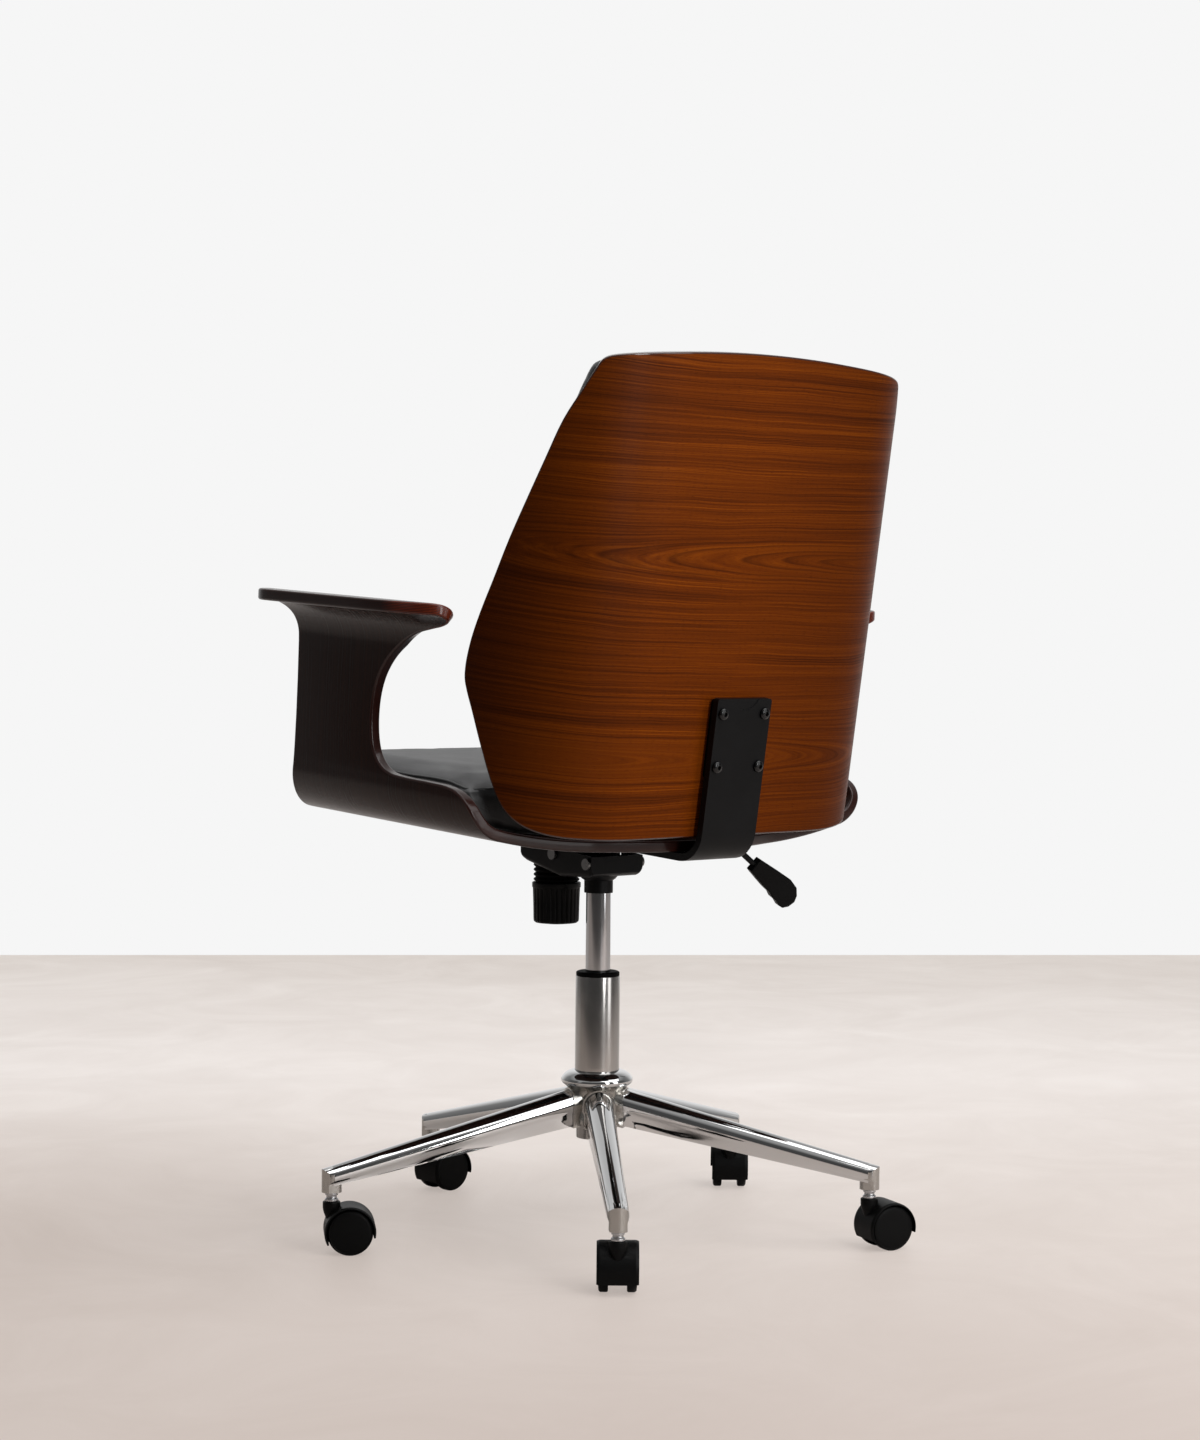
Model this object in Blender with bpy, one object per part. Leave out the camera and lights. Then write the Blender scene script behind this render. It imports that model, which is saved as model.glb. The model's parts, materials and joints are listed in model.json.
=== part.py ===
"""Swivel desk chair: bent plywood back and seat with arms, gas lift and five-star base.

Row frame in metres: +Z up, floor at z = 0, the sitter faces -Y, the sitter's left is +X.
"""
import math

import bmesh
import bpy
from mathutils import Matrix, Vector

# General fits
SEAT_GAP = 0.0003
RUN_CLEARANCE = 0.00003
HOLE_CLEARANCE = 0.0003
ROUND_SEGMENTS = 24
FIT_SEGMENTS = 16

# Column and base
COLUMN_Y = 0.0230
LEG_COUNT = 5
FIRST_LEG_ANGLE = math.radians(-90.0)
LEG_REACH = 0.3120
HUB_BOTTOM_Z = 0.1250
HUB_FOOT_RADIUS = 0.0330
HUB_NECK_RADIUS = 0.0298
HUB_NECK_Z = 0.1530
HUB_FLANGE_RADIUS = 0.0412
HUB_FLANGE_Z = 0.1700
HUB_FLANGE_EDGE = 0.0035
HUB_TOP_Z = 0.1860
LEG_ROOT_RADIUS = 0.0290
LEG_ROOT_TOP_Z = 0.1665
LEG_ROOT_WIDTH = 0.0335
LEG_ROOT_HEIGHT = 0.0400
LEG_TIP_TOP_Z = 0.0955
LEG_TIP_WIDTH = 0.0226
LEG_TIP_HEIGHT = 0.0205
LEG_WEB_INSET = 0.0020
COLLAR_REACH = 0.0402
COLLAR_RIM = 0.0026
SOCKET_RADIUS = 0.0109
SOCKET_BOTTOM_Z = 0.0670

# Casters
WHEEL_RADIUS = 0.0250
WHEEL_INNER_Y = 0.0052
WHEEL_OUTER_Y = 0.0202
WHEEL_EDGE = 0.0028
WHEEL_BLIND = 0.0030
WHEEL_CROWN = 0.0006
WHEEL_SEGMENTS = 20
CASTER_TRAIL = 0.0200
STEM_RADIUS = 0.0055
STEM_COLLAR_RADIUS = 0.0075
STEM_COLLAR_HEIGHT = 0.0030
STEM_DEPTH_IN_SOCKET = 0.0200
STEM_DEPTH_IN_HOOD = 0.0095
HOOD_TOP_Z = 0.0570
HOOD_HALF_WIDTH = 0.0220
HOOD_WALL = 0.0022
HOOD_AIR = 0.0008
HOOD_WEB = 0.0042
HOOD_BOSS_RADIUS = 0.0095
HOOD_BOSS_FLOOR = 0.0040
HOOD_SEGMENTS = 22
HOOD_START = math.radians(-14.0)
HOOD_END = math.radians(206.0)
AXLE_RADIUS = 0.0030
AXLE_BOSS_RADIUS = 0.0070
CASTER_DIRECTIONS = (183.0, 147.0, 229.7, 163.4, 229.7)

# Gas lift
TUBE_RADIUS = 0.0250
TUBE_FOOT_RADIUS = 0.0229
TUBE_FOOT_Z = 0.1095
TUBE_TAPER_TOP_Z = 0.1900
TUBE_TOP_Z = 0.2930
TUBE_WALL = 0.0018
TUBE_FLOOR = 0.0040
BUSH_FLANGE = 0.0050
BUSH_LENGTH = 0.0680
CYLINDER_RADIUS = 0.0140
CYLINDER_BOTTOM_Z = 0.2150
CYLINDER_TAPER_Z = 0.3880
CYLINDER_TOP_RADIUS = 0.0131
CYLINDER_TOP_Z = 0.4260
ROD_RADIUS = 0.0050
ROD_IN_CYLINDER = 0.0200
LIFT_TRAVEL = 0.0850
CYLINDER_END_AIR = 0.0040
ROD_BOTTOM_Z = 0.1060
BEARING_RADIUS = 0.0150
BEARING_HEIGHT = 0.0070
BEARING_GROOVE = 0.0012
BUTTON_RADIUS = 0.0040
BUTTON_HEIGHT = 0.0014
CLIP_RADIUS = 0.0100
CLIP_THICKNESS = 0.0012

# Tilt mechanism
HOUSING_HALF_WIDTH = 0.0380
HOUSING_WALL = 0.0030
HOUSING_FRONT = -0.0940
HOUSING_CHIN = -0.0850
HOUSING_REAR = 0.0320
HOUSING_FRONT_RIM_Z = 0.4440
HOUSING_REAR_RIM_Z = 0.4300
HOUSING_CHIN_Z = 0.4190
HOUSING_BELLY_Z = 0.4050
HOUSING_TAIL_Z = 0.4110
HOUSING_FLOOR_Z = 0.4200
HOUSING_ROUND = 0.0050
CAVITY_REAR = -0.0180
SKIRT_RADIUS = 0.0163
SKIRT_BOTTOM_Z = 0.3870
SKIRT_TOP_Z = 0.4010
CONE_RADIUS = 0.0250
CONE_TOP_Z = 0.4100
PIVOT_Y = -0.0350
PIVOT_Z = 0.4300
PIVOT_RADIUS = 0.0040
PIVOT_HEAD_RADIUS = 0.0065
PIVOT_HEAD = 0.0030
CROSS_BOLT_Y = 0.0250
CROSS_BOLT_Z = 0.4220
CROSS_BOLT_RADIUS = 0.0030
KNOB_Y = -0.0750
KNOB_RADIUS = 0.0280
KNOB_FOOT_RADIUS = 0.0262
KNOB_TOP_Z = 0.3935
KNOB_BOTTOM_Z = 0.3480
KNOB_DOME = 0.0030
KNOB_BAND = 0.0060
KNOB_CHAMFER = 0.0016
KNOB_FLUTES = 24
KNOB_FLUTE_DEPTH = 0.0007
BELLOWS_RADIUS = 0.0265
BELLOWS_VALLEY = 0.0240
BELLOWS_BORE = 0.0205
BELLOWS_RINGS = 4
BELLOWS_TOP_Z = 0.4165
TENSION_SCREW_RADIUS = 0.0040
TENSION_NUT_RADIUS = 0.0075
TENSION_NUT_HEIGHT = 0.0060
TENSION_SCREW_IN_KNOB = 0.0300
SPRING_RADIUS = 0.0165
SPRING_WIRE = 0.0018
SPRING_TURNS = 4
LEVER_Z = 0.4340
LEVER_RADIUS = 0.0035
LEVER_INNER_X = 0.0040
LEVER_BEND_X = -0.2050
LEVER_DROP = math.radians(36.0)
LEVER_DROP_LENGTH = 0.0560
LEVER_PIVOT_X = -0.0300
LEVER_LUG_THICKNESS = 0.0035
LEVER_LUG_LENGTH = 0.0070
LEVER_LUG_RISE = 0.0045
LEVER_PIN_RADIUS = 0.0015
LEVER_SLOT = 0.0140
GRIP_START = 0.0430
GRIP_LENGTH = 0.0810
GRIP_ROOT_WIDTH = 0.0180
GRIP_WIDTH = 0.0330
GRIP_THICKNESS = 0.0120
GRIP_TWIST = math.radians(20.6)

# Seat
SEAT_PITCH = math.radians(3.4)
SEAT_Z = 0.4550
SHELL_THICKNESS = 0.0125
SHELL_EDGE = 0.0012
SEAT_FLAT_HALF = 0.1100
SEAT_BELLY_RADIUS = 0.6600
SEAT_BELLY_ANGLE = 0.2120
SEAT_CORNER_RADIUS = 0.0480
ARM_PANEL_RISE = 0.1480
ARM_FLARE_RADIUS = 0.0380
ARM_REST_WIDTH = 0.0270
PLATE_HALF_WIDTH = 0.0620
PLATE_FRONT = -0.1150
PLATE_REAR = 0.0580
PLATE_THICKNESS = 0.0040
PLATE_CORNER = 0.0100
EAR_THICKNESS = 0.0030
EAR_AIR = 0.0012
EAR_RADIUS = 0.0090
EAR_TOP_HALF = 0.0200
SEAT_BOLT_X = 0.0500
SEAT_BOLT_FRONT_Y = -0.0900
SEAT_BOLT_REAR_Y = 0.0380
BOLT_SEGMENTS = 12
BOLT_RADIUS = 0.0030
BOLT_HEAD_RADIUS = 0.0060
BOLT_HEAD_HEIGHT = 0.0038
BOLT_GRIP_IN_SHELL = 0.0095
CUSHION_TOP = 0.0830
CUSHION_SIDE_TOP = 0.0845
CUSHION_ROLL_Z = 0.0700
CUSHION_DISH = 0.0060
CUSHION_FRONT_FALL = 0.0120
CUSHION_EDGE_FALL = 0.0160
CUSHION_SIDE_FALL = 0.0100
CUSHION_SIDE_AIR = 0.0035
CUSHION_FRONT_AIR = 0.0060
CUSHION_REAR_AIR = 0.0260
REAR_EDGE_FROM_Y = 0.1200
REAR_EDGE_TO_X = 0.3100
FRONT_EDGE_FROM_Y = -0.1900
FRONT_EDGE_TO_X = 0.4400

# Back
BACK_LEAN = math.radians(9.37)
BACK_Y = 0.2297
BACK_RISE = 0.1850
BACK_Z = SEAT_Z + BACK_RISE
BACK_FLAT_HALF = 0.1150
BACK_EASE = 0.0300
BACK_WING_RADIUS = 0.1410
BACK_WING_FACETS = 10
BACK_CUSHION_DEPTH = 0.0290
BACK_CUSHION_INSET = 0.0040
BACK_CUSHION_CORNER = 0.0100
BACK_CUSHION_CORNER_LOW = 0.2100
BACK_CUSHION_RISE = 0.0035
BRACKET_WIDTH = 0.0780
BRACKET_THICKNESS = 0.0080
BRACKET_TOP = -0.0270
BRACKET_BEND_RADIUS = 0.0350
BRACKET_FRONT_Y = 0.0660
BRACKET_CORNER = 0.0030
BRACKET_NOTCH_RADIUS = 0.0230
BRACKET_NOTCH_DEPTH = 0.0006
BRACKET_NOTCH_DROP = 0.0120
SPACER_THICKNESS = 0.0058
SPACER_HALF_WIDTH = 0.0360
SPACER_MARGIN = 0.0140
BACK_SCREW_X = 0.0300
BACK_SCREW_TOP = -0.0430
BACK_SCREW_PITCH = 0.0575
DOME_RADIUS = 0.0066
DOME_HEIGHT = 0.0042
DOME_SOCKET_RADIUS = 0.0026
DOME_SOCKET_DEPTH = 0.0022
BACK_SCREW_IN_SHELL = 0.0100
BAR_BOLT_FRONT_Y = 0.0880
BAR_BOLT_REAR_Y = 0.1360

# Right half of the developed seat blank: distance along the section, distance to the rear.
SEAT_BLANK = (
    (0.0000, 0.1750), (0.0350, 0.1725), (0.0680, 0.1660), (0.0960, 0.1570), (0.1230, 0.1485),
    (0.1550, 0.1430), (0.2000, 0.1375), (0.2500, 0.1330), (0.2850, 0.1310),
    (0.3010, 0.1265), (0.3120, 0.1175), (0.3190, 0.1040), (0.3228, 0.0850), (0.3240, 0.0600),
    (0.3250, 0.0050), (0.3275, -0.0170), (0.3355, -0.0335), (0.3465, -0.0430),
    (0.3620, -0.0485), (0.3850, -0.0505), (0.4090, -0.0475), (0.4290, -0.0395), (0.4460, -0.0265),
    (0.4590, -0.0110), (0.4700, 0.0080), (0.4790, 0.0330), (0.4850, 0.0600), (0.4900, 0.0820),
    (0.4960, 0.0960), (0.5050, 0.1040), (0.5150, 0.1035), (0.5260, 0.0940), (0.5350, 0.0770),
    (0.5420, 0.0540), (0.5465, 0.0220), (0.5480, -0.0200),
    (0.5480, -0.1620), (0.5465, -0.1790), (0.5410, -0.1925), (0.5320, -0.2000),
    (0.5200, -0.2030), (0.5050, -0.2010), (0.4850, -0.1965),
    (0.3400, -0.1950), (0.3000, -0.1990), (0.2600, -0.2120),
    (0.2050, -0.2370), (0.1400, -0.2580), (0.0700, -0.2680), (0.0000, -0.2705),
)

# Right half of the developed back blank: distance along the section, height above BACK_Z.
BACK_BLANK = (
    (0.0000, 0.3366), (0.0600, 0.3355), (0.1200, 0.3321), (0.1700, 0.3276), (0.2040, 0.3225),
    (0.2150, 0.3193), (0.2210, 0.3150), (0.2255, 0.3075), (0.2305, 0.2980), (0.2380, 0.2830),
    (0.2540, 0.2510), (0.2690, 0.2080), (0.2840, 0.1650), (0.2990, 0.1220), (0.3130, 0.0780),
    (0.3250, 0.0430), (0.3340, 0.0120), (0.3380, -0.0150), (0.3370, -0.0300), (0.3320, -0.0420),
    (0.3220, -0.0610), (0.3040, -0.0990), (0.2900, -0.1280), (0.2790, -0.1470), (0.2700, -0.1580),
    (0.2590, -0.1665), (0.2450, -0.1730), (0.2250, -0.1775), (0.2000, -0.1795), (0.0000, -0.1800),
)


def clear_scene():
    for obj in list(bpy.data.objects):
        bpy.data.objects.remove(obj, do_unlink=True)
    for mesh in list(bpy.data.meshes):
        bpy.data.meshes.remove(mesh)


def material(name, colour, roughness, metallic=0.0):
    made = bpy.data.materials.new(name)
    made.use_nodes = True
    shader = made.node_tree.nodes["Principled BSDF"]
    shader.inputs["Base Color"].default_value = (*colour, 1.0)
    shader.inputs["Roughness"].default_value = roughness
    shader.inputs["Metallic"].default_value = metallic
    made.diffuse_color = (*colour, 1.0)
    return made


def add_empty(name, location, rotation=(0.0, 0.0, 0.0), parent=None):
    empty = bpy.data.objects.new(name, None)
    bpy.context.collection.objects.link(empty)
    empty.empty_display_size = 0.03
    empty.location = location
    empty.rotation_euler = rotation
    empty.parent = parent
    return empty


def add_object(name, bm, surface, parent=None, location=(0.0, 0.0, 0.0), rotation=(0.0, 0.0, 0.0)):
    bmesh.ops.remove_doubles(bm, verts=bm.verts, dist=1e-7)
    bmesh.ops.recalc_face_normals(bm, faces=bm.faces)
    mesh = bpy.data.meshes.new(name)
    bm.to_mesh(mesh)
    bm.free()
    mesh.materials.append(surface)
    obj = bpy.data.objects.new(name, mesh)
    bpy.context.collection.objects.link(obj)
    obj.parent = parent
    obj.location = location
    obj.rotation_euler = rotation
    return obj


def smooth(obj, degrees=35.0):
    obj.data.polygons.foreach_set("use_smooth", [True] * len(obj.data.polygons))
    obj.data.set_sharp_from_angle(angle=math.radians(degrees))


def combine(target, operand_bm, operation, location=(0.0, 0.0, 0.0), rotation=(0.0, 0.0, 0.0)):
    """Unite, cut or intersect the target with a mesh given in the target's own axes."""
    operand = add_object(target.name + "_operand", operand_bm, target.data.materials[0])
    operand.matrix_world = Matrix.Translation(location) @ euler_matrix(rotation)
    kept_parent, kept_matrix = target.parent, target.matrix_basis.copy()
    target.parent = None
    target.matrix_basis = Matrix.Identity(4)
    modifier = target.modifiers.new(operation.lower(), "BOOLEAN")
    modifier.operation = operation
    modifier.solver = "EXACT"
    modifier.object = operand
    graph = bpy.context.evaluated_depsgraph_get()
    graph.update()
    result = bpy.data.meshes.new_from_object(target.evaluated_get(graph))
    target.modifiers.clear()
    old = target.data
    target.data = result
    result.name = target.name
    bpy.data.meshes.remove(old)
    bpy.data.objects.remove(operand, do_unlink=True)
    target.parent = kept_parent
    target.matrix_basis = kept_matrix
    tidy_mesh(target)


def tidy_mesh(obj):
    bm = bmesh.new()
    bm.from_mesh(obj.data)
    bmesh.ops.remove_doubles(bm, verts=bm.verts, dist=2e-6)
    bmesh.ops.dissolve_degenerate(bm, dist=2e-6, edges=bm.edges)
    bmesh.ops.dissolve_limit(bm, angle_limit=math.radians(0.05), verts=bm.verts, edges=bm.edges)
    bm.to_mesh(obj.data)
    bm.free()


def euler_matrix(rotation):
    x, y, z = rotation
    return Matrix.Rotation(z, 4, "Z") @ Matrix.Rotation(y, 4, "Y") @ Matrix.Rotation(x, 4, "X")


def copy_object(source, name, parent=None, location=(0.0, 0.0, 0.0), rotation=(0.0, 0.0, 0.0)):
    obj = bpy.data.objects.new(name, source.data.copy())
    obj.data.name = name
    bpy.context.collection.objects.link(obj)
    obj.parent = parent
    obj.location = location
    obj.rotation_euler = rotation
    return obj


def lathe(profile, segments=ROUND_SEGMENTS, start=0.0, sweep=2.0 * math.pi, closed=False):
    """Spin (radius, height) points about Z; a closed profile makes a ring."""
    bm = bmesh.new()
    turn = Matrix.Rotation(start, 3, "Z")
    verts = [bm.verts.new(turn @ Vector((r, 0.0, z))) for r, z in profile]
    edges = [bm.edges.new(pair) for pair in zip(verts, verts[1:])]
    full = abs(sweep - 2.0 * math.pi) < 1e-9
    if closed:
        edges.append(bm.edges.new((verts[-1], verts[0])))
    if closed and not full:
        bm.faces.new(verts)
    geom = verts + edges + list(bm.faces)
    steps = segments if full else max(2, int(round(segments * sweep / (2.0 * math.pi))))
    bmesh.ops.spin(bm, geom=geom, cent=(0, 0, 0), axis=(0, 0, 1), angle=sweep, steps=steps)
    bmesh.ops.remove_doubles(bm, verts=bm.verts, dist=1e-7)
    if closed and not full:
        cap_partial_spin(bm)
    bmesh.ops.recalc_face_normals(bm, faces=bm.faces)
    return bm


def cap_partial_spin(bm):
    open_edges = [edge for edge in bm.edges if len(edge.link_faces) == 1]
    if open_edges:
        bmesh.ops.holes_fill(bm, edges=open_edges, sides=0)


def extrude_outline(points, low, high, axis="Z"):
    """Extrude a closed 2-D outline between two heights; the axis says which way."""
    bm = bmesh.new()
    place = {
        "X": lambda a, b, h: (h, a, b),
        "Y": lambda a, b, h: (a, h, b),
        "Z": lambda a, b, h: (a, b, h),
    }[axis]
    bottom = [bm.verts.new(place(a, b, low)) for a, b in points]
    top = [bm.verts.new(place(a, b, high)) for a, b in points]
    bm.faces.new(bottom)
    bm.faces.new(top)
    for i in range(len(points)):
        j = (i + 1) % len(points)
        bm.faces.new((bottom[i], bottom[j], top[j], top[i]))
    bmesh.ops.recalc_face_normals(bm, faces=bm.faces)
    return bm


def bevel_where(bm, test, width, segments=2):
    chosen = [edge for edge in bm.edges if test(edge)]
    bmesh.ops.bevel(bm, geom=chosen, offset=width, segments=segments, profile=0.5, affect="EDGES")
    bmesh.ops.recalc_face_normals(bm, faces=bm.faces)
    return bm


def running_bore(radius, segments=FIT_SEGMENTS):
    """Corner radius of a faceted bore whose flats just clear a shaft of this radius."""
    return (radius + RUN_CLEARANCE) / math.cos(math.pi / segments)


def round_bar(radius, low, high, segments=ROUND_SEGMENTS, chamfer=0.0):
    if chamfer <= 0.0:
        return lathe([(0.0, low), (radius, low), (radius, high), (0.0, high)], segments)
    return lathe([
        (0.0, low), (radius - chamfer, low), (radius, low + chamfer),
        (radius, high - chamfer), (radius - chamfer, high), (0.0, high),
    ], segments)


def tube_along(points, radius, sides=12):
    """Sweep a round section along a polyline and close both ends."""
    bm = bmesh.new()
    rings = []
    side = None
    for i, point in enumerate(points):
        before = points[max(i - 1, 0)]
        after = points[min(i + 1, len(points) - 1)]
        along = (after - before).normalized()
        if side is None:
            side = along.orthogonal().normalized()
        side = (side - along * side.dot(along)).normalized()
        up = along.cross(side)
        ring = []
        for k in range(sides):
            angle = 2.0 * math.pi * k / sides
            offset = side * math.cos(angle) + up * math.sin(angle)
            ring.append(bm.verts.new(point + offset * radius))
        rings.append(ring)
    for low, high in zip(rings, rings[1:]):
        for k in range(sides):
            n = (k + 1) % sides
            bm.faces.new((low[k], low[n], high[n], high[k]))
    bm.faces.new(rings[0])
    bm.faces.new(rings[-1])
    bmesh.ops.recalc_face_normals(bm, faces=bm.faces)
    return bm


def arc_points(centre, radius, start, end, count):
    made = []
    for i in range(count + 1):
        angle = start + (end - start) * i / count
        made.append((centre[0] + radius * math.cos(angle), centre[1] + radius * math.sin(angle)))
    return made


# Bent sheets
def bent_section(steps):
    """Turn (length, turn angle, facets) steps into points, bisector normals and lengths."""
    x, z, angle, run = 0.0, 0.0, 0.0, 0.0
    points = [(x, z)]
    angles = []
    runs = [0.0]
    for length, turn, facets in steps:
        for _ in range(facets):
            angle += turn / facets / 2.0
            x += length / facets * math.cos(angle)
            z += length / facets * math.sin(angle)
            run += length / facets
            points.append((x, z))
            angles.append(angle)
            runs.append(run)
            angle += turn / facets / 2.0
    return points, angles, runs


def mirrored_section(steps):
    points, angles, runs = bent_section(steps)
    left = [(-x, z) for x, z in reversed(points[1:])]
    angles = [-a for a in reversed(angles)] + angles
    runs = [-r for r in reversed(runs[1:])] + runs
    return left + points, angles, runs


def section_normals(angles):
    """Offset vector per section point, scaled so that the strips stay parallel."""
    normals = []
    for i in range(len(angles) + 1):
        before = angles[max(i - 1, 0)]
        after = angles[min(i, len(angles) - 1)]
        middle = (before + after) / 2.0
        scale = 1.0 / math.cos((after - before) / 2.0)
        normals.append((-math.sin(middle) * scale, math.cos(middle) * scale))
    return normals


def map_to_section(section, run, depth):
    points, normals, runs = section
    i = 0
    while i < len(runs) - 2 and run > runs[i + 1]:
        i += 1
    share = (run - runs[i]) / (runs[i + 1] - runs[i])
    x = points[i][0] + (points[i + 1][0] - points[i][0]) * share
    z = points[i][1] + (points[i + 1][1] - points[i][1]) * share
    nx = normals[i][0] + (normals[i + 1][0] - normals[i][0]) * share
    nz = normals[i][1] + (normals[i + 1][1] - normals[i][1]) * share
    return x + nx * depth, z + nz * depth


def mirrored_outline(half):
    left = [(-a, b) for a, b in reversed(half[1:-1])]
    return list(half) + left


def inset_outline(points, distance):
    """Move every corner of a closed outline inwards along its bisector."""
    area = 0.0
    for (ax, ay), (bx, by) in zip(points, points[1:] + points[:1]):
        area += ax * by - bx * ay
    sign = 1.0 if area > 0.0 else -1.0
    made = []
    count = len(points)
    for i in range(count):
        before = Vector(points[i - 1])
        here = Vector(points[i])
        after = Vector(points[(i + 1) % count])
        first = (here - before).normalized()
        second = (after - here).normalized()
        normal_a = Vector((-first.y, first.x)) * sign
        normal_b = Vector((-second.y, second.x)) * sign
        middle = (normal_a + normal_b).normalized()
        scale = 1.0 / max(0.5, middle.dot(normal_a))
        moved = here + middle * distance * scale
        made.append((moved.x, moved.y))
    return made


def shrunk_outline(points, distance):
    """Scale a plump outline about its middle until each side has moved in by the distance."""
    middle = [(min(p[k] for p in points) + max(p[k] for p in points)) / 2.0 for k in (0, 1)]
    half = [max(p[k] for p in points) - middle[k] for k in (0, 1)]
    return [tuple(middle[k] + (p[k] - middle[k]) * (1.0 - distance / half[k]) for k in (0, 1))
            for p in points]


def ringed_slab(outline, rings, narrow=inset_outline):
    """Closed flat slab from (inset, height) rings; the first and last rings are capped."""
    bm = bmesh.new()
    made = []
    for inset, height in rings:
        ring = narrow(outline, inset) if inset else outline
        made.append([bm.verts.new((a, b, height)) for a, b in ring])
    bm.faces.new(made[0])
    bm.faces.new(made[-1])
    for low, high in zip(made, made[1:]):
        for i in range(len(outline)):
            j = (i + 1) % len(outline)
            bm.faces.new((low[i], low[j], high[j], high[i]))
    bmesh.ops.recalc_face_normals(bm, faces=bm.faces)
    return bm


def split_at(bm, runs):
    for run in runs:
        geom = list(bm.verts) + list(bm.edges) + list(bm.faces)
        bmesh.ops.bisect_plane(bm, geom=geom, dist=1e-7, plane_co=(run, 0, 0), plane_no=(1, 0, 0))


def seat_section():
    steps = (
        (SEAT_FLAT_HALF, 0.0, 1),
        (SEAT_BELLY_RADIUS * SEAT_BELLY_ANGLE, SEAT_BELLY_ANGLE, 4),
        (SEAT_CORNER_RADIUS * (math.pi / 2 - SEAT_BELLY_ANGLE), math.pi / 2 - SEAT_BELLY_ANGLE, 7),
        (ARM_PANEL_RISE, 0.0, 1),
        (ARM_FLARE_RADIUS * math.pi / 2, -math.pi / 2, 8),
        (ARM_REST_WIDTH, 0.0, 1),
    )
    points, angles, runs = mirrored_section(steps)
    return points, section_normals(angles), runs


def back_section():
    wing = BLANK_HALF - BACK_FLAT_HALF - BACK_EASE
    ease_turn = BACK_EASE / BACK_WING_RADIUS / 2.0
    steps = (
        (BACK_FLAT_HALF, 0.0, 1),
        (BACK_EASE, ease_turn, 2),
        (wing, wing / BACK_WING_RADIUS, BACK_WING_FACETS),
    )
    points, angles, runs = mirrored_section(steps)
    return points, section_normals(angles), runs


BLANK_HALF = max(a for a, b in BACK_BLANK)


def bend_slab(bm, section, place):
    split_at(bm, section[2][1:-1])
    for vert in bm.verts:
        across, depth = map_to_section(section, vert.co.x, vert.co.z)
        vert.co = place(across, vert.co.y, depth)
    bmesh.ops.recalc_face_normals(bm, faces=bm.faces)
    return bm


def ply_rings(thickness, edge):
    return ((edge, 0.0), (0.0, edge), (0.0, thickness - edge), (edge, thickness))


# Base
def leg_section(width, height, grow=0.0):
    """Half-round top on a narrower flat web, listed as (across, up) from the section's top."""
    half = width / 2.0 + grow
    drop = width / 2.0
    shoulder = drop + width * 0.16
    web = half - LEG_WEB_INSET
    arch = arc_points((0.0, -drop), half, 0.0, math.pi, 8)
    right = [(web, -height - grow), (web, -shoulder - 0.0030), (half, -shoulder)]
    left = [(-half, -shoulder), (-web, -shoulder - 0.0030), (-web, -height - grow)]
    return right + arch + left


def leg_frame(radius):
    share = (radius - LEG_ROOT_RADIUS) / (LEG_REACH - LEG_ROOT_RADIUS)
    top = LEG_ROOT_TOP_Z + (LEG_TIP_TOP_Z - LEG_ROOT_TOP_Z) * share
    width = LEG_ROOT_WIDTH + (LEG_TIP_WIDTH - LEG_ROOT_WIDTH) * share
    height = LEG_ROOT_HEIGHT + (LEG_TIP_HEIGHT - LEG_ROOT_HEIGHT) * share
    return top, width, height


def leg_loft(radii, grow=0.0, deepen=0.0):
    bm = bmesh.new()
    rings = []
    for radius in radii:
        top, width, height = leg_frame(radius)
        ring = [
            bm.verts.new((radius, across, top + up))
            for across, up in leg_section(width, height + deepen, grow)
        ]
        rings.append(ring)
    for low, high in zip(rings, rings[1:]):
        for i in range(len(low)):
            j = (i + 1) % len(low)
            bm.faces.new((low[i], low[j], high[j], high[i]))
    bm.faces.new(rings[0])
    bm.faces.new(rings[-1])
    bmesh.ops.recalc_face_normals(bm, faces=bm.faces)
    return bm


def turned(bm, angle):
    bmesh.ops.rotate(bm, verts=bm.verts, cent=(0, 0, 0), matrix=Matrix.Rotation(angle, 3, "Z"))
    return bm


def leg_angle(index):
    return FIRST_LEG_ANGLE + 2.0 * math.pi * index / LEG_COUNT


def tube_outer_radius(z):
    share = (z - TUBE_FOOT_Z) / (TUBE_TAPER_TOP_Z - TUBE_FOOT_Z)
    return TUBE_FOOT_RADIUS + (TUBE_RADIUS - TUBE_FOOT_RADIUS) * min(1.0, max(0.0, share))


def hub_bore_radius(z):
    return tube_outer_radius(z) + SEAT_GAP


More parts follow.
